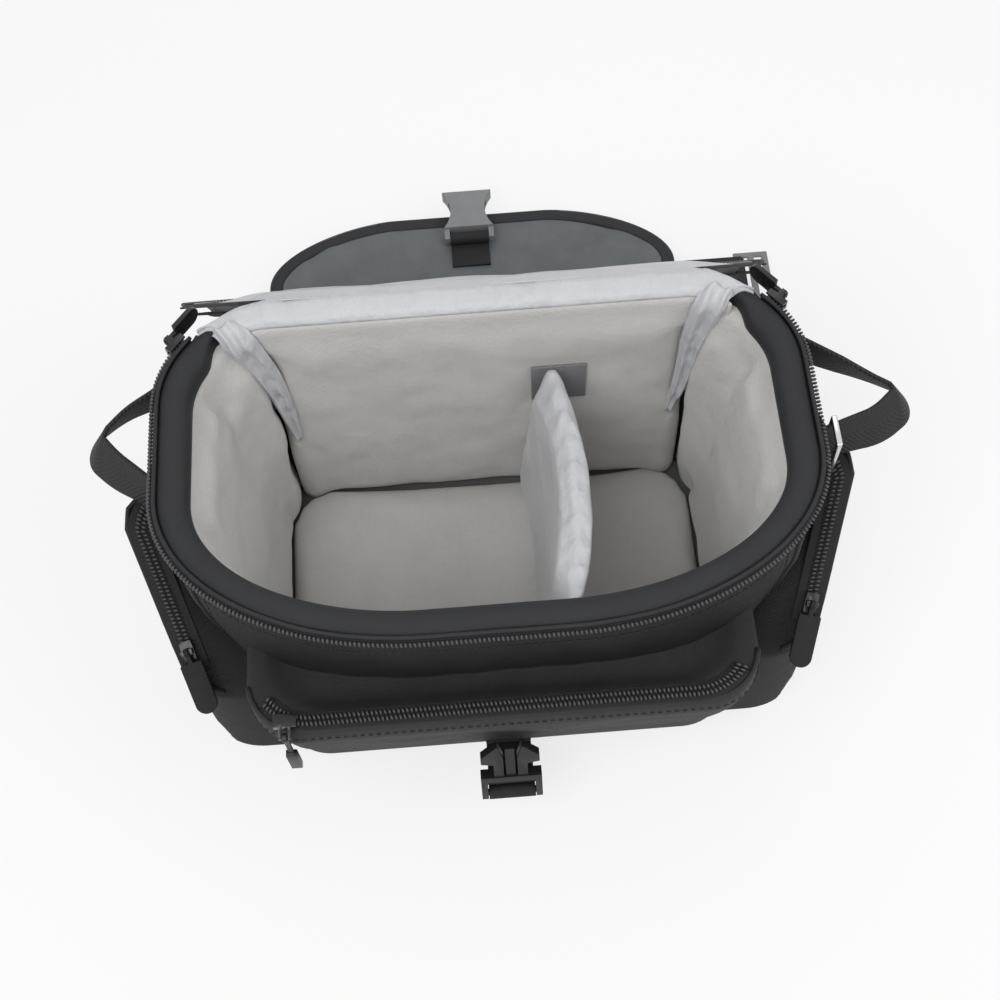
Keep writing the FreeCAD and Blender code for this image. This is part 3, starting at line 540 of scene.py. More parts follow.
def beadTree(name):
    # beads of a given length, width and height at a pitch along edges, facing as the path says
    tree = bpy.data.node_groups.new(name, "GeometryNodeTree")
    kinds = {"Geometry": "Geometry", "Material": "Material"}
    for label in ("Geometry", "Pitch", "Along", "Across", "Height", "Slant", "Material"):
        kind = "NodeSocket" + kinds.get(label, "Float")
        tree.interface.new_socket(label, in_out="INPUT", socket_type=kind)
    tree.interface.new_socket("Geometry", in_out="OUTPUT", socket_type="NodeSocketGeometry")
    given = tree.nodes.new("NodeGroupInput").outputs
    line = step(tree, "GeometryNodeMeshToCurve", None, {"Mesh": given["Geometry"]})
    even = step(tree, "GeometryNodeResampleCurve", {"mode": "LENGTH"},
                {"Curve": line.outputs[0], "Length": given["Pitch"]})
    ball = step(tree, "GeometryNodeMeshUVSphere", None, {"Segments": 8, "Rings": 5, "Radius": 0.5})
    size = step(tree, "ShaderNodeCombineXYZ", None,
                {"X": given["Along"], "Y": given["Across"], "Z": given["Height"]})
    turn = step(tree, "ShaderNodeCombineXYZ", None, {"Z": given["Slant"]})
    bead = step(tree, "GeometryNodeTransform", None,
                {"Geometry": ball.outputs[0], "Scale": size.outputs[0], "Rotation": turn.outputs[0]})
    facing = step(tree, "GeometryNodeInputNamedAttribute", {"data_type": "FLOAT_VECTOR"},
                  {"Name": "facing"})
    along = tree.nodes.new("GeometryNodeInputTangent")
    pose = step(tree, "FunctionNodeAxesToRotation", {"primary_axis": "Z", "secondary_axis": "X"},
                {0: facing.outputs[0], 1: along.outputs[0]})
    many = step(tree, "GeometryNodeInstanceOnPoints", None,
                {"Points": even.outputs[0], "Instance": bead.outputs[0], "Rotation": pose.outputs[0]})
    soft = step(tree, "GeometryNodeSetShadeSmooth", None, {"Geometry": many.outputs[0]})
    real = step(tree, "GeometryNodeRealizeInstances", None, {"Geometry": soft.outputs[0]})
    worn = step(tree, "GeometryNodeSetMaterial", None,
                {"Geometry": real.outputs[0], "Material": given["Material"]})
    out = tree.nodes.new("NodeGroupOutput")
    tree.links.new(worn.outputs[0], out.inputs[0])
    return tree


beadsOnPath = beadTree("beadsOnPath")


def beads(name, runs, sizes, finish):
    # runs are lists of (point, facing); the result is one plain mesh
    points, edges, facings = [], [], []
    for run in runs:
        start = len(points)
        points += [p for p, f in run]
        facings += [c for p, f in run for c in f]
        edges += [(start + i, start + i + 1) for i in range(len(run) - 1)]
    mesh = rawMesh(name, points, [], edges)
    mesh.attributes.new("facing", "FLOAT_VECTOR", "POINT").data.foreach_set("vector", facings)
    piece = placed(name, mesh)
    modifier = piece.modifiers.new("Beads", "NODES")
    modifier.node_group = beadsOnPath
    for item in beadsOnPath.interface.items_tree:
        if item.item_type == "SOCKET" and item.in_out == "INPUT":
            if item.name in sizes:
                modifier[item.identifier] = sizes[item.name]
            elif item.name == "Material":
                modifier[item.identifier] = finishes[finish][0]
    applyAll(piece)
    if "facing" in piece.data.attributes:
        piece.data.attributes.remove(piece.data.attributes["facing"])
    return piece


zipCoil = {"Pitch": 0.0017, "Along": 0.0012, "Across": 0.0026, "Height": 0.0020, "Slant": 0.25}
stitch = {"Pitch": 0.0032, "Along": 0.0023, "Across": 0.0006, "Height": 0.0005, "Slant": 0.0}


def zipRows(path, facing, gap=0.0012):
    # two rows of teeth that close on each other along a path
    rows = []
    for sign in (-1, 1):
        run = []
        for p, along, up, side in frames(path, facing):
            shift = along * (zipCoil["Pitch"] * 0.25 * sign)
            run.append((p + side * gap * sign + shift, up))
        rows.append(run)
    return rows


# cloth: a padded piece swells a little and creases

clothSettings = {"quality": 4, "mass": 0.2, "use_pressure": True, "tension_stiffness": 12,
                 "compression_stiffness": 12, "bending_stiffness": 0.3}


def swollen(piece, voxel, cap, free, pressure=4.0, soften=3, frameCount=20):
    # remeshes a piece, lets it swell as cloth, keeps each point within cap and says how free it is
    modifier = piece.modifiers.new("Remesh", "REMESH")
    modifier.mode = "VOXEL"
    modifier.voxel_size = voxel
    modifier.use_smooth_shade = True
    even = piece.modifiers.new("Smooth", "SMOOTH")
    even.factor = 0.5
    even.iterations = soften
    applyAll(piece)
    start = np.array([v.co for v in piece.data.vertices])
    normals = np.array([v.normal for v in piece.data.vertices])
    cloth = piece.modifiers.new("Cloth", "CLOTH")
    for key, setting in clothSettings.items():
        setattr(cloth.settings, key, setting)
    cloth.settings.uniform_pressure_force = pressure
    cloth.settings.effector_weights.gravity = 0
    cloth.collision_settings.use_collision = False
    cloth.point_cache.frame_start = 1
    cloth.point_cache.frame_end = frameCount
    for number in range(1, frameCount + 1):
        bpy.context.scene.frame_set(number)
    applyAll(piece)
    bpy.context.scene.frame_set(1)
    now = np.array([v.co for v in piece.data.vertices])
    move = now - start
    print(piece.name, "swelled by up to", round(float(np.linalg.norm(move, axis=1).max()) * 1000, 1), "mm")
    length = np.linalg.norm(move, axis=1, keepdims=True) + 1e-12
    move *= np.minimum(1.0, cap / length)
    share = np.array([free(Vector(p), Vector(n)) for p, n in zip(start, normals)])[:, None]
    piece.data.vertices.foreach_set("co", (start + move * share).reshape(-1))
    piece.data.update()
    piece.modifiers.new("Subdivision", "SUBSURF")
    applyAll(piece)
    smoothFaces(piece.data)


# camera and light

view = {"focalWidths": 1.5, "elevation": 63.5, "azimuth": -1.0, "roll": -3.5, "distance": 0.615,
        "target": (0.004, 0.0, 0.114)}


def makeCamera():
    e, a = math.radians(view["elevation"]), math.radians(view["azimuth"])
    away = Vector((math.sin(a) * math.cos(e), -math.cos(a) * math.cos(e), math.sin(e)))
    right = (-away).cross(upward).normalized()
    up = right.cross(-away)
    r = math.radians(view["roll"])
    right, up = right * math.cos(r) + up * math.sin(r), up * math.cos(r) - right * math.sin(r)
    data = bpy.data.cameras.new("camera")
    data.sensor_width = 36
    data.lens = 36 * view["focalWidths"]
    data.clip_start = 0.01
    camera = placed("camera", data)
    turn = Matrix((right, up, away)).transposed().to_4x4()
    camera.matrix_world = Matrix.Translation(Vector(view["target"]) + away * view["distance"]) @ turn
    bpy.context.scene.camera = camera


lights = {"key": ((-0.35, -0.55, 1.10), 0.8, 7.6), "fill": ((0.75, -0.3, 0.8), 0.8, 3.2),
          "back": ((0.1, 0.9, 0.9), 0.9, 2.2)}


def makeLights():
    for name, (place, size, power) in lights.items():
        data = bpy.data.lights.new(name, "AREA")
        data.size = size
        data.energy = power
        lamp = placed(name, data)
        lamp.location = place
        lamp.rotation_euler = (Vector((0, 0, 0.1)) - Vector(place)).to_track_quat("-Z", "Y").to_euler()


def seenWhite(tree):
    # 1 for what the camera, gloss and clear parts see, and 0 for the light that falls on the bag
    path = tree.nodes.new("ShaderNodeLightPath")
    total = Value(tree, path.outputs["Is Camera Ray"]) + Value(tree, path.outputs["Is Glossy Ray"])
    return (total + Value(tree, path.outputs["Is Transmission Ray"])).math("MINIMUM", 1.0)


studio = {"ambient": 0.42, "floor": 0.9, "floorSide": 3.0, "floorZ": -0.0006, "floorWhite": 0.72}


def makeWorld():
    world = bpy.data.worlds.new("studio")
    world.use_nodes = True
    tree = world.node_tree
    background = tree.nodes["Background"]
    background.inputs["Color"].default_value = (1, 1, 1, 1)
    strength = seenWhite(tree) * (1 - studio["ambient"]) + studio["ambient"]
    tree.links.new(strength.socket, background.inputs["Strength"])
    bpy.context.scene.world = world


def makeFloor():
    corners = [(x * studio["floorSide"], y * studio["floorSide"], studio["floorZ"])
               for x, y in ((-1, -1), (1, -1), (1, 1), (-1, 1))]
    floor = placed("floor", rawMesh("floor", corners, [(0, 1, 2, 3)]))
    paint = Finish("paleFloor", [studio["floor"]] * 3, 0.9)
    glow = paint.tree.nodes.new("ShaderNodeEmission")
    blend = paint.tree.nodes.new("ShaderNodeMixShader")
    paint.tree.links.new((seenWhite(paint.tree) * studio["floorWhite"]).socket, blend.inputs[0])
    paint.tree.links.new(paint.shader.outputs[0], blend.inputs[1])
    paint.tree.links.new(glow.outputs[0], blend.inputs[2])
    paint.tree.links.new(blend.outputs[0], paint.tree.nodes["Material Output"].inputs["Surface"])
    floor.data.materials.append(paint.material)


makeCamera()
makeLights()
makeWorld()
makeFloor()
bpy.context.scene.view_settings.view_transform = "Standard"
print("camera, lights and floor made")


# outer bag

def outward(ring):
    # outward unit normals of a plan ring
    out = []
    for i in range(len(ring)):
        x0, y0 = ring[i - 1][:2]
        x1, y1 = ring[(i + 1) % len(ring)][:2]
        length = math.hypot(x1 - x0, y1 - y0)
        out.append(((y1 - y0) / length, -(x1 - x0) / length))
    return out


shellLook = {"levels": 26, "bulge": 0.0022, "crease": 0.0011, "edge": 0.0028, "seams": (69, 139, 28, 180),
             "pipe": 0.0013, "stitchDrop": 0.0072}


def facingRing(ring, z):
    return [(Vector((x, y, z)), Vector((nx, ny, 0))) for (x, y), (nx, ny) in zip(ring, outward(ring))]


def shellPush(x, y, z):
    # how far the cloth stands off its plain loft: soft bulges and slanting creases
    hold = ease(z / 0.02) * ease((bag["wallZ"] - z) / 0.022)
    soft = wobble(x, y, z, 0.052, 3.1) * shellLook["bulge"]
    slant = abs(wobble(x + z * 0.5, y + z * 0.5, z * 0.35, 0.017, 8.4))
    return hold * (soft + (0.35 - slant) * shellLook["crease"])


def makeShell():
    rings = []
    edge = shellLook["edge"]
    for z, inset in ((0.0, edge), (0.0004, edge * 0.35), (0.0012, edge * 0.08)):
        rings.append(ringAt(z, inset))
    for k in range(1, shellLook["levels"] + 1):
        z = bag["wallZ"] * k / shellLook["levels"]
        rings.append([p + n * shellPush(*p) for p, n in facingRing(outline(z), z)])
    rings.append(ringAt(bag["wallZ"] + 0.0006, 0.0008))
    for z in (bag["wallZ"], 0.1, 0.05, 0.0017):
        rings.append(ringAt(z, 0.0034, z))
    piece = loft("bagShell", rings)
    finished(piece, "shell", "bag", "shell_front", "shell_back", "shell_left",
             "shell_right", "base_panel")


def wallLine(index, z0, z1, out=0.0002, count=24):
    # run up the wall at one place of the outline, with the way it faces
    run = []
    for k in range(count + 1):
        z = mix(z0, z1, k / count)
        p, n = facingRing(outline(z), z)[index]
        run.append((p + n * (shellPush(*p) + out), n))
    return run


def round8(radius):
    return [(radius * math.cos(math.pi * k / 4), radius * math.sin(math.pi * k / 4)) for k in range(8)]


def makeSeams():
    pipes, runs = [], []
    for index in shellLook["seams"]:
        pipes.append(sweepRun("pipe", wallLine(index, 0.004, 0.1445), round8(shellLook["pipe"])))
        runs += [wallLine(index + side, 0.006, 0.143) for side in (-2, 2)]
    finished(joined("wallPiping", pipes), "trim", "bag")
    z = bag["wallZ"] - shellLook["stitchDrop"]
    rail = facingRing(outline(z, -0.0003), z)
    runs.append(rail + rail[:1])
    stitches = beads("wallStitches", runs, stitch, "trim")
    finished(stitches, "trim", "bag")


rimLook = {"profile": ((1.5, 143.5), (1.7, 148.6), (2.3, 150.4), (3.8, 151.6), (6.4, 152.2), (9.2, 152.1),
                       (11.8, 151.1), (13.6, 149.2), (14.4, 146.4), (14.4, 143.5)),
           "wrinkle": 0.0006, "slim": 0.5, "zipEndY": 0.066, "zipInset": -0.0006, "tapeInset": 0.0008,
           "ripple": 0.0004, "tape": (0.0052, 0.0009), "pipe": 0.0009}


def backShare(x, y):
    # 1 along the back between the corners, where the band gives way to the pad, and 0 elsewhere
    return ease((y - 0.045) / 0.015) * ease((0.112 - abs(x)) / 0.010)


def makeRim():
    rings = []
    outer = rimLook["profile"][0][0] / 1000
    for inset, z in rimLook["profile"]:
        wide = outline(bag["rimZ"], inset / 1000)
        slim = outline(bag["rimZ"], mix(outer, inset / 1000, rimLook["slim"]))
        lifted = []
        for (x, y), (a, b) in zip(wide, slim):
            share = ease((inset - 2) / 4) * ease((14.6 - inset) / 3)
            h = z / 1000
            h += share * rimLook["wrinkle"] * (wobble(x, y, h, 0.011, 5.5) + wobble(x, y, h, 0.03, 1.5))
            back = backShare(x, y)
            lifted.append((mix(x, a, back), mix(y, b, back), h - 0.0012 * back))
        rings.append(lifted)
    piece = loft("rimBand", rings, closed=True)
    finished(piece, "trim", "bag", "rim_roll")


def rimRun(inset, z, limit, ripple=0.0):
    # run round the rim from one back corner to the other, by the front
    return [(p + Vector((0, 0, ripple * wobble(p.x, p.y, 0, 0.02, 2.0))), n)
            for p, n in facingRing(outline(bag["rimZ"], inset), z) if p.y < limit]


def makeRimZip():
    end, ripple = rimLook["zipEndY"], rimLook["ripple"]
    tape = rimRun(rimLook["tapeInset"], 0.1484, end, ripple)
    finished(sweepRun("rimZipTape", tape, section(*rimLook["tape"])), "tape", "bag",
             "main_zip_tape")
    teeth = beads("rimZipTeeth", [rimRun(rimLook["zipInset"], 0.1502, end, ripple)], zipCoil, "coil")
    finished(teeth, "coil", "bag", "main_zip_teeth")
    pipe = sweepRun("rimPiping", rimRun(0.0016, 0.1518, end, ripple), round8(rimLook["pipe"]))
    finished(pipe, "trim", "bag")


makeShell()
makeSeams()
makeRim()
makeRimZip()
print("shell, rim and rim zip made")


# padded inside

padLook = {"voxel": 0.0042, "cap": {"front": 0.0022, "back": 0.0024, "left": 0.0042, "right": 0.0042},
           "dimple": 0.0013, "top": 0.1522, "topHalf": 0.106, "floorFit": (1.02, 1.03, 1)}
hookTabs = []


def makeHooks():
    hooks = fromNode("divider_hooks", "dividerHooks", 0.0003)
    for sign in (-1, 1):
        tab = [v.co for v in hooks.data.vertices if v.co.y * sign > 0]
        xs, zs = [p.x for p in tab], [p.z for p in tab]
        hookTabs.append((sign, min(xs), max(xs), min(zs), max(zs)))
    finished(hooks, "hooks", "divider", "divider_hooks")


def inwardShare(p, n):
    # only the face that looks into the bag swells; its top edge is sewn down and the tabs hold it flat
    out = Vector((p.x, p.y * 1.6, 0)).normalized()
    share = ease(0.5 - n.dot(out) * 1.4) * ease((0.149 - p.z) / 0.02)
    for sign, x0, x1, z0, z1 in hookTabs:
        if p.y * sign > 0:
            share *= ease(max(x0 - p.x, p.x - x1, z0 - p.z, p.z - z1) / 0.014 + 0.1)
    return share


def anyShare(p, n):
    return 1.0


def dimpled(piece, depth, scale, seed, share):
    # soft uneven hollows over the free faces of a pad; every normal is read before a point moves
    places = [(v.co.copy(), v.normal.copy()) for v in piece.data.vertices]
    moved = []
    for p, n in places:
        amount = wobble(*p, scale, seed) + 0.5 * wobble(*p, scale * 0.4, seed + 4)
        moved.extend(p + n * (depth * amount * share(p, n)))
    piece.data.vertices.foreach_set("co", moved)
    piece.data.update()


def backTop():
    # upper edge of the back pad, which rises behind the rim to the lid's satin
    front, rear = [], []
    for r in range(9):
        z = mix(0.136, padLook["top"], r / 8)
        faces = []
        for inset in (bag["padInset"], 0.0086):
            ring = outline(bag["rimZ"], inset)
            faces.append([(x, y, z) for x, y in ring if y > 0.05 and abs(x) < padLook["topHalf"]])
        count = min(len(faces[0]), len(faces[1]))
        for row, face in ((front, faces[0]), (rear, faces[1])):
            face.sort()
            row.append([face[round(k * (len(face) - 1) / (count - 1))] for k in range(count)])
    return quilt("backPadTop", front, rear)


def makePads():
    for side, seed in (("front", 1.0), ("back", 2.0), ("left", 3.0), ("right", 4.0)):
        node = "pad_" + side
        pad = fromNode(node, side + "Padding")
        if side == "back":
            pad = joined(side + "Padding", [pad, backTop()])
        swollen(pad, padLook["voxel"], padLook["cap"][side], inwardShare)
        dimpled(pad, padLook["dimple"], 0.03, seed, inwardShare)
        finished(pad, "tricot", "bag", node)
    floor = fromNode("pad_floor", "floorPadding")
    swollen(floor, padLook["voxel"], 0.003, anyShare)
    dimpled(floor, 0.001, 0.04, 6.0, lambda p, n: ease(n.z))
    floor.data.transform(Matrix.Diagonal((*padLook["floorFit"], 1)))
    finished(floor, "tricot", "bag", "pad_floor")


gussetLook = {"pleats": 1.7, "depth": 0.0026, "rows": 60, "cols": 26, "top": 0.1536, "bottom": 0.066,
              "flatWidth": 0.014, "thick": 0.0006, "insets": (0.0085, 0.0150),
              "widths": ((0.0, 0.012), (0.12, 0.0135), (0.5, 0.0095), (1.0, 0.0045)),
              "places": ((0.0, 27.6), (0.12, 26.6), (0.4, 25.4), (1.0, 24.2))}


def between(stops, t):
    # value at t on a run of (place, value) stops
    for (t0, a), (t1, b) in zip(stops, stops[1:]):
        if t <= t1:
            return mix(a, b, (t - t0) / (t1 - t0))
    return stops[-1][1]


def onRing(ring, place):
    i = int(place)
    return tuple(mix(a, b, place - i) for a, b in zip(ring[i], ring[i + 1]))


def makeGussets():
    # loose satin that runs from the ends of the lid's lining down the two back corners
    look = gussetLook
    length = look["top"] - look["bottom"]
    for sign, side in ((-1, "Left"), (1, "Right")):
        grids = [], []
        seed = 3.0 + sign
        for r in range(look["rows"] + 1):
            t = r / look["rows"]
            over = ease(t / 0.12)
            z = look["top"] - length * max(t - 0.06, 0) / 0.94
            inset = mix(*look["insets"], over) - 0.0016 * ease((t - 0.75) / 0.25)
            ring = outline(min(z, bag["rimZ"]), inset)
            normals = outward(ring)
            width = between(look["widths"], t)
            centre = between(look["places"], t) + 0.5 * math.sin(5.0 * t + seed)
            spacing = math.dist(ring[25], ring[26])
            for grid in grids:
                grid.append([])
            for c in range(look["cols"] + 1):
                s = c / look["cols"]
                place = centre + (s - 0.5) * width / spacing
                x, y = onRing(ring, place)
                nx, ny = normals[int(place)]
                edge = ease(s / 0.2) * ease((1 - s) / 0.2)
                phase = s * look["pleats"] + 0.35 * t + 0.25 * wobble(s * 0.5, t, 0, 0.3, seed)
                fold = 1 - abs(math.cos(math.pi * phase)) ** 1.6
                push = look["depth"] * edge * fold * (1 - 0.5 * t) + 0.0016 * edge
                push += 0.0012 * edge * wobble(x, y, z, 0.0075, 7.0 + seed)
                for grid, q in zip(grids, (push, push - look["thick"])):
                    grid[-1].append((-sign * (x - nx * q * over), y - ny * q * over, z + q * (1 - over)))
        piece = quilt("gusset" + side, *grids)
        finished(piece, "satin", "bag", *(["lining_gussets"] if sign > 0 else []))


def makeDivider():
    board = fromNode("divider_board", "dividerPad")
    swollen(board, 0.0022, 0.0030, anyShare, pressure=6.0, soften=14)
    dimpled(board, 0.0010, 0.040, 9.0, anyShare)
    finished(board, "satin", "divider", "divider_board")


makeHooks()
makePads()
makeGussets()
makeDivider()
print("padding, gussets and divider made")


# lid, made closed and then laid back about its hinge

lidLook = {"hingeY": 0.082, "hingeZ": 0.153, "open": 235.0, "bottom": 0.1542, "top": 0.1604,
           "cornerStart": 0.028, "hingeHalf": 0.096, "rows": 56, "cols": 72, "puff": 0.0034,
           "liningHalf": 0.116,
           "lining": (0.0092, 0.0818), "plate": (0.0068, 0.0685), "padRise": 0.0046,
           "foot": (0.0795, 0.030), "binding": (0.0098, 0.0016), "tape": (0.0066, 0.0009)}


def laidBack(piece):
    pivot = Matrix.Translation((0, lidLook["hingeY"], lidLook["hingeZ"]))
    turn = Matrix.Rotation(math.radians(-lidLook["open"]), 4, "X")
    piece.data.transform(pivot @ turn @ pivot.inverted())
    return piece


def lidHalfWidth(y, inset):
    ring = [(abs(x), v) for x, v in outline(bag["rimZ"], inset)]
    ring = ring[len(ring) // 2:]
    if y > lidLook["cornerStart"]:
        wide = bag["rimHalf"] - inset
        t = (y - lidLook["cornerStart"]) / (bag["rimBack"] - lidLook["cornerStart"])
        return mix(wide, lidLook["hingeHalf"] - inset, min(t, 1.0))
    for (x0, y0), (x1, y1) in zip(ring, ring[1:]):
        if min(y0, y1) <= y <= max(y0, y1) and y1 != y0:
            return mix(x0, x1, (y - y0) / (y1 - y0))
    return ring[0][0]


def lidGrid(inset, back, height, widest):
    rows = []
    front = bag["rimFront"] + inset
    for r in range(lidLook["rows"] + 1):
        s = r / lidLook["rows"]
        y = mix(front, back, s ** 1.7 if s < 1 else 1)
        half = min(lidHalfWidth(y, inset), mix(1.0, widest, ease(y / 0.03)))
        row = []
        for c in range(lidLook["cols"] + 1):
            u = math.sin(math.pi * (c / lidLook["cols"] - 0.5))
            x = half * u
            gap = min(half - abs(x), y - front, back - y)
            row.append((x, y, height(x, y, max(gap, 0))))
        rows.append(row)
    return rows


def satinHeight(x, y, gap):
    # lining side of the lid: pillowed, with gathers running in from the hinge seam
    swell = lidLook["puff"] * ease((gap - 0.004) / 0.022)
    near = ease((y - 0.035) / 0.045)
    gathers = abs(wobble(x, y * 0.18, 0, 0.011, 6.0)) * 0.0026 * near * ease(gap / 0.004)
    broad = 0.0016 * wobble(x, y, 0, 0.045, 2.6) * ease(gap / 0.01)
    return lidLook["bottom"] + 0.0004 - swell * 0.8 + gathers + broad


def lidEdge(inset, z):
    # the lid's edge from one end of the hinge round by the front to the other
    depths = [mix(*lidLook["foot"], k / 8) for k in range(9)]
    side = [Vector((lidHalfWidth(y, inset), y, z)) for y in depths]
    left = [Vector((-p.x, p.y, p.z)) for p in side]
    return left + [p for p, n in rimRun(inset, z, lidLook["cornerStart"])] + side[::-1]


def lidRun(inset, z):
    return [(p, Vector((0, 0, -1))) for p, n in rimRun(inset, z, lidLook["cornerStart"])]


def makeLid():
    bottom, top, lining, plate = (lidLook[key] for key in ("bottom", "top", "lining", "plate"))
    low = lidGrid(*lining, satinHeight, lidLook["liningHalf"])
    high = lidGrid(*lining, lambda x, y, gap: bottom + 0.0012 + lidLook["padRise"] * ease(gap / 0.007)
                   * ease((0.070 - y) / 0.006), lidLook["liningHalf"])
    pad = laidBack(quilt("lidPadding", low, high))
    finished(pad, "satin", "lid", "lid_lining", "lid_foam")
    under = lidGrid(*plate, lambda x, y, gap: bottom + 0.0052, 1.0)
    over = lidGrid(*plate, lambda x, y, gap: top - 0.0022 + 0.0022 * ease(gap / 0.008)
                   + 0.0004 * wobble(x, y, 0, 0.02, 1.1), 1.0)
    cover = laidBack(quilt("lidCover", under, over))
    finished(cover, "shell", "lid", "lid_cover")
    bound = laidBack(sweep("lidBinding", lidEdge(0.0058, 0.1552), (0, 0, 1), section(*lidLook["binding"])))
    finished(bound, "trim", "lid")
    edge = [p for p, n in lidRun(0.0026, 0.1556)]
    tape = laidBack(sweep("lidZipTape", edge, (0, 0, 1), section(*lidLook["tape"])))
    finished(tape, "tape", "lid", "lid_zip_tape")
    teeth = laidBack(beads("lidZipTeeth", [lidRun(0.0012, 0.1542)], zipCoil, "coil"))
    finished(teeth, "coil", "lid", "lid_zip_teeth")
    sewn = laidBack(beads("lidStitches", [lidRun(0.0062, 0.1541)], stitch, "satin"))
    finished(sewn, "satin", "lid")


satinLook = {"half": 0.1135, "puff": 0.0022, "columns": 180, "rows": 34, "reach": 0.021, "thick": 0.0007,
             "curlFrom": 0.098, "endFrom": 0.086, "endRun": 0.022, "pad": 0.1512, "rise": 0.1534,
             "crest": 0.1544, "brink": 0.1545}


def backEdge(x, inset):
    # depth of the rim's back at a given x, on the outline at an inset
    half = bag["rimHalf"] - inset
    r = bag["rimBackRadius"] - inset
    over = max(abs(x) - (half - r), 0.0)
    return bag["rimBack"] - inset - r + math.sqrt(max(r * r - over * over, 0.0))


def hingeCloth():
    # satin that rises from the back pad, rolls over the rim and goes on down the lid
    a = math.radians(lidLook["open"])
    down = Vector((0, -math.cos(a), math.sin(a)))
    out = Vector((0, math.sin(a), math.cos(a)))
    hinge = Vector((0, lidLook["hingeY"], lidLook["hingeZ"]))
    columns = []
    for c in range(satinLook["columns"] + 1):
        u = 2 * c / satinLook["columns"] - 1
        x = satinLook["half"] * math.copysign(abs(u) ** 0.85, u)
        tip = ease((abs(x) - satinLook["curlFrom"]) / (satinLook["half"] - satinLook["curlFrom"]))
        outer = backEdge(x, 0.0020)
        inner = mix(max(backEdge(min(abs(x), 0.104), 0.0134), 0.052), outer - 0.002, tip)
        end = ease((abs(x) - satinLook["endFrom"]) / satinLook["endRun"])
        puff = satinLook["puff"] + 0.0012 * wobble(x, 0, 0, 0.045, 2.6) - 0.0010 * x / satinLook["half"]
        pad = Vector((x, inner + 0.0006, satinLook["pad"]))
        rise = Vector((x, inner + 0.0022, satinLook["rise"] - 0.0006 * end))
        crest = Vector((x, mix(inner, outer, 0.55), satinLook["crest"] - 0.0010 * end))
        brink = Vector((x, mix(min(outer, 0.0772), outer, end), satinLook["brink"] - 0.0014 * end))
        rows = [pad, rise, crest, brink]
        for d, share in ((0.0045, 0.75), (0.0085, 1.0), (0.0130, 0.8), (satinLook["reach"], -0.6)):
            on = hinge + down * d + out * (puff * share) + Vector((x * (1 - 0.012 * d / 0.02), 0, 0))
            edge = brink + Vector((0, 0.0012 * share, -0.0016 - 0.0012 * (d / 0.02)))
            rows.append(on.lerp(edge, end))
        columns.append(divided(rounded(rows, 0.0030, 3), 0.0011))
    count = satinLook["rows"]
    upper, lower = [], []
    for r in range(count + 1):
        row, under = [], []
        for c, run in enumerate(columns):
            place = r / count * (len(run) - 1)
            i = min(int(place), len(run) - 2)
            p = run[i].lerp(run[i + 1], place - i)
            along = (run[i + 1] - run[i]).normalized()
            normal = sideways.cross(along).normalized()
            x = p.x
            t = r / count
            sewn = ease(t / 0.18)
            pucker = abs(wobble(x, 0, t * 0.012, 0.0085, 4.4)) * ease((0.75 - t) / 0.5) * 0.0016
            crease = wobble(x, 0, t * 0.03, 0.026, 1.0) * 0.0011
            p = p + normal * sewn * (pucker + crease) * ease((satinLook["half"] - abs(x)) / 0.012)
            row.append(tuple(p))
            under.append(tuple(p - normal * satinLook["thick"]))
        upper.append(row)
        lower.append(under)
    piece = dressed(quilt("hingeSatin", upper, lower), "satin", "lid_hinge_strip")
    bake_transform(piece)


makeLid()
hingeCloth()
print("lid made")


# weather flap

flapLook = {"columns": 144, "rowStep": 0.0016, "reach": 0.004, "bound": 0.0034, "stitchIn": 0.0062,
            "hinges": ((0.085, 0.128), (0.088094, 0.092635), (0.0952187, 0.0112), (0.1849725, 0.0112)),
            "front": 0.037, "halves": (0.092, 0.096, 0.106, 0.106), "tip": 0.040, "thick": 0.00095,
            "binding": 0.0042, "bindingWidth": 0.0072, "wrinkle": 0.0014}


def flapPath():
    # places along the flap from its seam to its tip, and how far along each hinge lies
    hinges = [Vector((0, y, z)) for y, z in flapLook["hinges"]]
    tip = hinges[3] + Vector((0, flapLook["front"], 0))
    points = hinges + [tip]
    marks = [0.0]
    for a, b in zip(points, points[1:]):
        marks.append(marks[-1] + (b - a).length)
    return points, marks


def flapHalf(s, marks):
    halves = flapLook["halves"]
    for k in range(3):
        if s <= marks[k + 1]:
            return mix(halves[k], halves[k + 1], (s - marks[k]) / (marks[k + 1] - marks[k]))
    t = (s - marks[3]) / (marks[4] - marks[3])
    # the tip's two corners are wide quarter rounds
    return flapLook["tip"] + (halves[3] - flapLook["tip"]) * max(1 - max(t, 0) ** 1.9, 0) ** 0.62


def flapPoint(s, points, marks):
    for k in range(4):
        if s <= marks[k + 1] or k == 3:
            along = (points[k + 1] - points[k]).normalized()
            return points[k] + along * (s - marks[k]), along


def flapCentre(s, points, marks, blendLength=0.004):
    # centre line with its folds eased, and the way the lining faces
    p, along = flapPoint(s, points, marks)
    for k in (1, 2, 3):
        d = s - marks[k]
        if abs(d) < blendLength:
            a, ta = flapPoint(marks[k] - blendLength, points, marks)
            b, tb = flapPoint(marks[k] + blendLength, points, marks)
            t = 0.5 + d / (2 * blendLength)
            c = points[k]
            p = a * (1 - t) ** 2 + c * 2 * t * (1 - t) + b * t * t
            along = (ta * (1 - t) + tb * t).normalized()
    return p, sideways.cross(along)


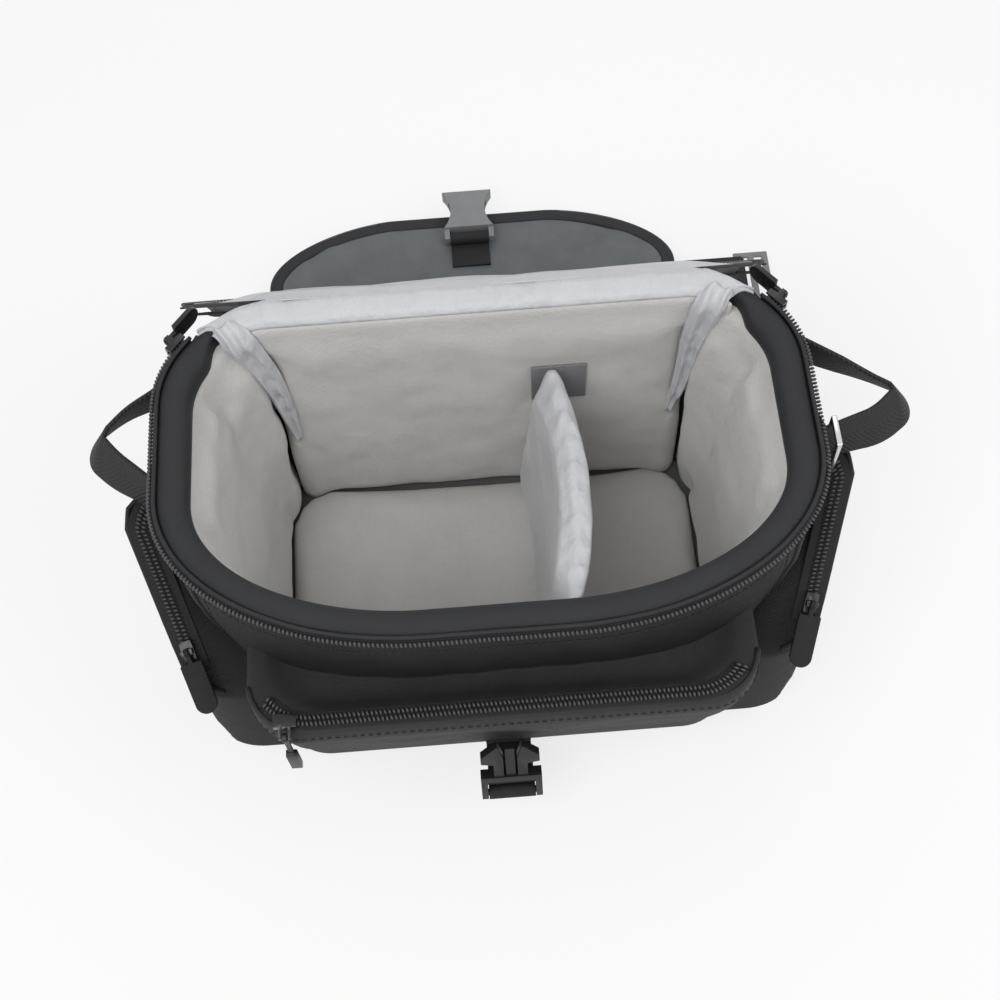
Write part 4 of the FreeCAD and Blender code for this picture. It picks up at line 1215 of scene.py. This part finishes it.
def flapLeaf(name, s0, s1, points, marks):
    count = max(12, int((s1 - s0) / flapLook["rowStep"]))
    upper, lower = [], []
    end = marks[-1]
    for r in range(count + 1):
        s = mix(s0, s1, 1 - (1 - r / count) ** (2.2 if s1 == end else 1))
        half = flapHalf(s, marks)
        p, normal = flapCentre(s, points, marks)
        up, low = [], []
        for c in range(flapLook["columns"] + 1):
            u = 2 * c / flapLook["columns"] - 1
            x = half * math.copysign(abs(u) ** 0.8, u)
            gap = min(half - abs(x), end - s)
            inset = ease(gap / 0.0009)
            bound = flapLook["binding"]
            if gap < bound:
                swell = 0.0011 + 0.0006 * math.sin(math.pi * min(gap / bound, 1))
            else:
                swell = flapLook["thick"]
            near = min(abs(s - m) for m in marks[:4])
            loose = ease((gap - bound) / 0.012) * ease(near / 0.010)
            wave = flapLook["wrinkle"] * loose * (
                wobble(x * 0.55, s, 0, 0.020, 3.7) + 0.6 * wobble(x, s, 0, 0.008, 9.0))
            a = p + normal * (swell * (0.25 + 0.75 * inset) + wave)
            b = p - normal * (swell * (0.25 + 0.75 * inset) - wave)
            up.append((x, a.y, a.z))
            low.append((x, b.y, b.z))
        upper.append(up)
        lower.append(low)
    return quilt(name, upper, lower)


def flapBinding(name, k, cuts, points, marks):
    # tape folded over the two edges of one leaf, or round the tip on the last
    inset = flapLook["bindingWidth"] / 2 - 0.0006
    count, power = (70, 2.6) if k == 3 else (24, 1)
    edge = []
    for n in range(count + 1):
        s = mix(max(cuts[k], 0.0), cuts[k + 1], 1 - (1 - n / count) ** power)
        edge.append((flapHalf(s, marks), s))
    if k == 3:
        edge += [(mix(edge[-1][0], 0, n / 12), edge[-1][1]) for n in range(1, 13)]
    line = []
    for n, (x, s) in enumerate(edge):
        (x0, s0), (x1, s1) = edge[max(n - 1, 0)], edge[min(n + 1, len(edge) - 1)]
        length = math.hypot(x1 - x0, s1 - s0)
        x, s = x - inset * (s1 - s0) / length, s + inset * (x1 - x0) / length
        p, normal = flapCentre(s, points, marks)
        line.append((p, x, normal))
    right = [(p + Vector((x, 0, 0)), normal) for p, x, normal in line]
    left = [(p - Vector((x, 0, 0)), normal) for p, x, normal in line]
    runs = [left + right[-2::-1]] if k == 3 else [left, right]
    shape = section(flapLook["bindingWidth"], flapLook["bound"], 0.45)
    return joined(name, [sweepRun(name, run, shape) for run in runs])


def makeFlap():
    points, marks = flapPath()
    middle = [mix(marks[k], marks[k + 1], 0.5) for k in range(4)]
    cuts = [-0.004, middle[0], middle[1], middle[2], marks[4]]
    names = ["flapRoot", "flapRise", "flapBack", "flapLeaf"]
    nodes = [("flap_spine", "flap_seam_strip"), ("flap_back",), ("flap_mid",), ("flap_front",)]
    reach = flapLook["reach"]
    for k in range(4):
        piece = dressed(flapLeaf(names[k], cuts[k], cuts[k + 1], points, marks), "flap", *nodes[k])
        # quilt's faces take turns, lining side first, and the other side wears the outer cloth
        piece.data.materials.append(finishes["shell"][0])
        faces = piece.data.polygons
        faces.foreach_set("material_index", [n % 2 for n in range(len(faces))])
        start, end = (flapPoint(marks[k] + r, points, marks)[0] for r in (-reach, reach))
        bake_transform(piece)
        bound = dressed(flapBinding(names[k] + "Binding", k, cuts, points, marks), "trim")
        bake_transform(bound)
        width = 2 * max(flapHalf(cuts[k], marks), flapHalf(cuts[k + 1] - 0.02, marks))
        cuts[k + 1] - cuts[k]
    sewn = []
    for sign in (-1, 1):
        run = []
        for n in range(61):
            s = mix(marks[2] + 0.006, marks[3] - 0.006, n / 60)
            p, normal = flapCentre(s, points, marks)
            x = sign * (flapHalf(s, marks) - flapLook["stitchIn"])
            run.append((p + Vector((x, 0, 0)) + normal * 0.0012, normal))
        sewn.append(run)
    finished(beads("flapStitches", sewn, stitch, "flap"), "flap", "flap_mid")


makeFlap()
print("flap made")


# straps, loops and ring

strapLook = {"width": 0.025, "thick": 0.0013, "line": 0.172, "left": -0.098, "right": 0.142,
             "levels": (0.0023, 0.00395, 0.0056, 0.0092), "anchor": 0.070, "turn": 0.0009,
             "drop": ((0.0799, 0.0665), (0.0797, 0.0420), (0.0817, 0.0110), (0.0937, 0.0008),
                      (0.1845, 0.0008)), "dropThick": 0.0014}


def makeStrap():
    path = []
    for k, z in enumerate(strapLook["levels"]):
        ends = (strapLook["left"], strapLook["right"])
        if k % 2:
            ends = ends[::-1]
        if k:
            before = strapLook["levels"][k - 1]
            side = 1 if k % 2 else -1
            x = ends[0] + side * strapLook["turn"]
            path.append(Vector((x, strapLook["line"], mix(before, z, 0.3))))
            path.append(Vector((x, strapLook["line"], mix(before, z, 0.7))))
        path += [Vector((ends[0], strapLook["line"], z)), Vector((ends[1], strapLook["line"], z))]
    facing = [along.cross(Vector((0, 1, 0))) for along in directions(path)]
    piece = sweep("strapFolded", path, facing, section(strapLook["width"], strapLook["thick"]))
    finished(piece, "webbing", "bag", "strap_folded")
    for side, x in (("left", -strapLook["anchor"]), ("right", strapLook["anchor"])):
        points = [(x, y, z) for y, z in strapLook["drop"]]
        path = divided(rounded(points, 0.009), 0.006)
        way = [sideways.cross(along) for along in directions(path)]
        shape = section(strapLook["width"], strapLook["dropThick"])
        drop = sweep("strapDrop" + side.capitalize(), path, way, shape)
        finished(drop, "webbing", "bag", "strap_drop_" + side)
    grip = fromNode("strap_adjuster", "strapAdjuster", 0.0005, 3)
    finished(grip, "grey", "bag", "strap_adjuster")


loopLook = {"z": 0.134, "width": 0.0215, "thick": 0.0019, "left": 0.0295, "right": 0.0415, "lean": 0.55,
            "sag": 0.0022}


def makeLoops():
    z = loopLook["z"]
    wall = mix(bag["baseHalf"], bag["rimHalf"], z / bag["rimZ"])
    for side in ("left", "right"):
        sign = -1 if side == "left" else 1
        far = wall + loopLook[side]
        mid = 0.030 if side == "left" else 0.024
        plan = [(wall - 0.0135, 0.0715), (wall - 0.0085, 0.0625), (wall + 0.0004, 0.0520),
                (mix(wall, far, 0.62), mid + 0.0135), (far - 0.0015, mid + 0.0045), (far, mid - 0.0025),
                (mix(wall, far, 0.72), mid - 0.0120), (wall + 0.0045, 0.0050), (wall + 0.0012, -0.0010),
                (wall + 0.0012, -0.0080)]
        points = [Vector((sign * x, y, z - 0.0008)) for x, y in plan]
        points = divided(rounded(points, 0.011, 8), 0.0016)
        bows = [math.sin(math.pi * i / (len(points) - 1)) ** 2 for i in range(len(points))]
        path = [p - Vector((0, 0, loopLook["sag"] * bow)) for p, bow in zip(points, bows)]
        facing = []
        for along, bow in zip(directions(path), bows):
            flat = upward.cross(along)
            way = 1 if flat.x * sign > 0 else -1
            facing.append((flat + Vector((0, 0, way * bow * loopLook["lean"]))).normalized())
        piece = sweep("sideLoop" + side.capitalize(), path, facing,
                      section(loopLook["width"], loopLook["thick"], 0.45))
        finished(piece, "webbing", "bag", "side_loop_" + side)
    ring = fromNode("side_ring", "sideRing", 0.0008, 3)
    finished(ring, "chrome", "bag", "side_ring")


makeStrap()
makeLoops()
print("straps and loops made")


# front pocket

pocketLook = {"half": 0.101, "top": 0.112, "bottom": 0.006, "lip": 0.099, "face": -0.092, "low": -0.068,
              "corner": 0.022, "rear": -0.050, "zipBack": 0.0042, "zipTurn": -0.078,
              "bulge": 0.0022, "pipe": 0.0011, "seamTurn": -0.074,
              "seamZ": 0.1035, "plain": (0.010, 0.1045),
              "foot": ((0.006, 0.0042), (0.0066, 0.0018), (0.0082, 0.0005)),
              "brow": ((0.1080, 0.0002), (0.1102, 0.0008), (0.1115, 0.0019), (0.1120, 0.0034),
                       (0.1120, 0.0078), (0.1106, 0.0098), (0.1082, 0.0122), (0.1062, 0.0155),
                       (0.1052, 0.0200))}


def pocketFace(z):
    t = (z - pocketLook["bottom"]) / (pocketLook["lip"] - pocketLook["bottom"])
    return mix(pocketLook["low"], pocketLook["face"], min(max(t, 0), 1))


def pocketRing(z, inset):
    # plan of the front pocket at height z: round the two front corners, back through the bag
    half, face, r = pocketLook["half"] - inset, pocketFace(z) + inset, pocketLook["corner"]
    turns = [math.pi / 2 * k / 12 for k in range(13)]
    left = [(-half, mix(pocketLook["rear"], face + r, k / 9)) for k in range(9)]
    left += [(-half + r - r * math.cos(a), face + r - r * math.sin(a)) for a in turns]
    right = [(-x, y) for x, y in reversed(left)]
    return left + [(mix(-half + r, half - r, k / 60), face) for k in range(1, 60)] + right


def pocketPush(x, y, z):
    hold = ease((z - 0.010) / 0.02) * ease((0.100 - z) / 0.014)
    soft = wobble(x, y, z, 0.045, 12.0) * pocketLook["bulge"]
    slant = abs(wobble(x * 0.5 + z, y, z * 0.6, 0.016, 15.0))
    return hold * (soft + (0.3 - slant) * 0.0011)


def makeFrontPocket():
    rings = []
    face = [(mix(*pocketLook["plain"], k / 34), 0.0) for k in range(35)]
    for z, inset in (*pocketLook["foot"], *face, *pocketLook["brow"]):
        ring = []
        for x, y in pocketRing(z, inset):
            push = pocketPush(x, y, z) if y < -0.06 else 0
            ring.append((x, y - push, z))
        rings.append(ring)
    pouch = loft("frontPocket", rings)
    finished(pouch, "pocket", "bag", "front_pocket")
    lip = [(x, y, pocketLook["top"] - 0.0004) for x, y in pocketRing(pocketLook["top"], 0.0010)]
    lip = [Vector(p) for p in lip if p[1] < -0.070]
    pipe = sweep("frontPocketPiping", lip, (0, 0, 1), round8(pocketLook["pipe"]))
    finished(pipe, "trim", "bag")
    sag = [Vector((x, y, 0.1124)) for x, y in pocketRing(pocketLook["top"], pocketLook["zipBack"])
           if y < pocketLook["zipTurn"]]
    tape = sweep("frontZipTape", sag, (0, 0, 1), section(0.0074, 0.0009))
    finished(tape, "tape", "bag", "front_zip_tape")
    line = [p + Vector((0, 0, 0.0010)) for p in sag]
    teeth = beads("frontZipTeeth", zipRows(line, (0, 0, 1)), zipCoil, "coil")
    finished(teeth, "coil", "bag", "front_zip_teeth")
    z = pocketLook["seamZ"]
    run = [(p, n) for p, n in facingRing(pocketRing(z, -0.0003), z) if p.y < pocketLook["seamTurn"]]
    finished(beads("frontPocketStitches", [run], stitch, "trim"), "trim", "bag")


# side pockets

sideLook = {"out": 0.149, "frontOut": 0.127, "low": 0.122, "front": -0.065, "back": 0.036,
            "inner": 0.096, "flare": 0.028, "backX": 0.127, "knee": -0.002, "shoulder": 0.096,
            "corner": 0.020, "top": 0.118, "frontTop": 0.084, "pipe": 0.0011, "plain": (0.03, 0.95),
            "foot": ((0.0, 0.0040), (0.004, 0.0016), (0.012, 0.0004)),
            "brow": ((0.975, 0.0004), (0.990, 0.0014), (1.0, 0.0032)),
            "bottom": 0.014, "zipIn": 0.0065, "zipLength": 0.062, "bulge": 0.0024}


def sideTop(y):
    if y > sideLook["knee"]:
        return sideLook["top"]
    t = (y - sideLook["front"]) / (sideLook["knee"] - sideLook["front"])
    return mix(sideLook["frontTop"], sideLook["top"], t)


def sidePlan(inset):
    # plan of the right pocket: front, round the corner, out to the knee, back along the side
    out, front, back = sideLook["out"] - inset, sideLook["front"] + inset, sideLook["back"] - inset
    r = sideLook["corner"]
    knee = Vector((sideLook["frontOut"] - inset, front, 0))
    widest = Vector((out, sideLook["knee"], 0))
    a = Vector((knee.x - r, front, 0))
    c = knee + (widest - knee).normalized() * r
    plan = [(mix(sideLook["inner"], a.x, k / 12), front) for k in range(12)]
    for k in range(15):
        s = k / 14
        p = a * (1 - s) ** 2 + knee * 2 * s * (1 - s) + c * s * s
        plan.append((p.x, p.y))
    plan += [(mix(c.x, out, k / 18), mix(c.y, widest.y, k / 18)) for k in range(1, 19)]
    flare = back - sideLook["flare"]
    plan += [(out, mix(widest.y, flare, k / 5)) for k in range(1, 6)]
    plan += [(mix(out, sideLook["backX"] - inset, k / 14), mix(flare, back, k / 14)) for k in range(1, 15)]
    plan += [(mix(sideLook["backX"] - inset, sideLook["inner"], k / 10), back) for k in range(1, 11)]
    plan += [(sideLook["inner"], mix(back, front, k / 16)) for k in range(1, 16)]
    return plan


def wallX(y, z):
    # half width of the bag's outside at a given depth and height
    best = 0.0
    ring = outline(z)
    for (x0, y0), (x1, y1) in zip(ring, ring[1:]):
        if x0 > 0 and min(y0, y1) <= y <= max(y0, y1) and y0 != y1:
            best = max(best, mix(x0, x1, (y - y0) / (y1 - y0)))
    return best


def makeSidePocket():
    rings = []
    face = [(mix(*sideLook["plain"], k / 26), 0.0) for k in range(27)]
    for t, inset in (*sideLook["foot"], *face, *sideLook["brow"]):
        ring = []
        for x, y in sidePlan(inset):
            z = mix(sideLook["bottom"], sideTop(y), t)
            share = min(max((z - sideLook["bottom"]) / (sideLook["shoulder"] - sideLook["bottom"]), 0), 1)
            limit = mix(sideLook["low"], sideLook["out"], share) - inset
            x = max(min(x, limit), wallX(y, z) - 0.0022)
            hold = ease(t / 0.2) * ease((1 - t) / 0.15)
            push = hold * (wobble(x, y, z, 0.04, 21.0) * sideLook["bulge"]
                           + (0.3 - abs(wobble(x, y * 0.5 + z, z * 0.5, 0.015, 25.0))) * 0.0012)
            if x > 0.11:
                x += push
            ring.append((x, y, z))
        rings.append(ring)
    right = loft("sidePocketRight", rings)
    run = sideLook["knee"] - sideLook["front"]
    fall = sideLook["top"] - sideLook["frontTop"]
    along = Vector((sideLook["frontOut"] - sideLook["out"], -run, -fall)).normalized()
    normal = Vector((0, -fall, run)).normalized()
    start = Vector((sideLook["out"] - sideLook["zipIn"], sideLook["knee"], sideLook["top"]))
    line = [start + along * mix(0.001, sideLook["zipLength"], k / 30) for k in range(31)]
    rear = [start + Vector((-0.0012 * k, 0.0035 * k, 0.0004)) for k in range(8, 0, -1)]
    line = rear + line
    normal = [upward] * len(rear) + [normal] * 31
    tape = sweep("sideZipTapeRight", [p + n * 0.0004 for p, n in zip(line, normal)], normal,
                 section(0.0115, 0.0009))
    rows = zipRows([p + n * 0.0016 for p, n in zip(line, normal)], normal)
    teeth = beads("sideZipTeethRight", rows, zipCoil, "coil")
    lip = [Vector((x, y, sideTop(y) - 0.0004)) for x, y in sidePlan(0.0010) if x > 0.112 and y < 0.034]
    pipe = sweep("sidePipingRight", lip, (0, 0.2, 1), round8(sideLook["pipe"]))
    for shape, label, finish, node in (
            (right, "sidePocket", "shell", "_pocket"),
            (tape, "sideZipTape", "tape", "_zip_tape"),
            (teeth, "sideZipTeeth", "coil", "_zip_teeth"),
            (pipe, "sidePiping", "trim", "")):
        for side, twin in (("right", shape), ("left", mirroredCopy(shape, label + "Left"))):
            finished(twin, finish, "bag", *([side + node] if node else []))


makeFrontPocket()
makeSidePocket()
print("pockets made")


# sliders, pulls and buckles

# node: name, finish, body, bevel, segments
smallParts = {
    "front_slider": ("frontSlider", "slider", "front_slider", 0.0003, 2),
    "front_pull": ("frontPull", "rubber", "front_pull", 0.0005, 2),
    "buckle_female": ("flapBuckle", "grey", "flap_buckle", 0.0006, 3),
    "buckle_male": ("frontBuckle", "black", "front_buckle", 0.0005, 3),
    "flap_strap": ("flapStrap", "tab", "flap_front", 0.0003, 2),
    "buckle_strap": ("frontStrap", "tab", "bag", 0.0003, 2),
}
for side in ("left", "right"):
    for node, name, finish, bevel in (("main_slider_" + side, "rimSlider", "slider", 0.0003),
                                      ("main_pull_" + side, "rimPull", "rubber", 0.0006),
                                      (side + "_slider", "sideSlider", "slider", 0.0003),
                                      (side + "_pull", "sidePull", "tab", 0.0005)):
        smallParts[node] = (name + side.capitalize(), finish, node, bevel, 2)


def makeSmallParts():
    for node, (name, finish, body, bevel, segments) in smallParts.items():
        finished(fromNode(node, name, bevel, segments), finish, body, node)
    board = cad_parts["base_board"]
    board.data.materials.clear()
    board.data.materials.append(moulded("baseBoard", (0.12, 0.12, 0.12), 0.7))


makeSmallParts()
print("small parts made")
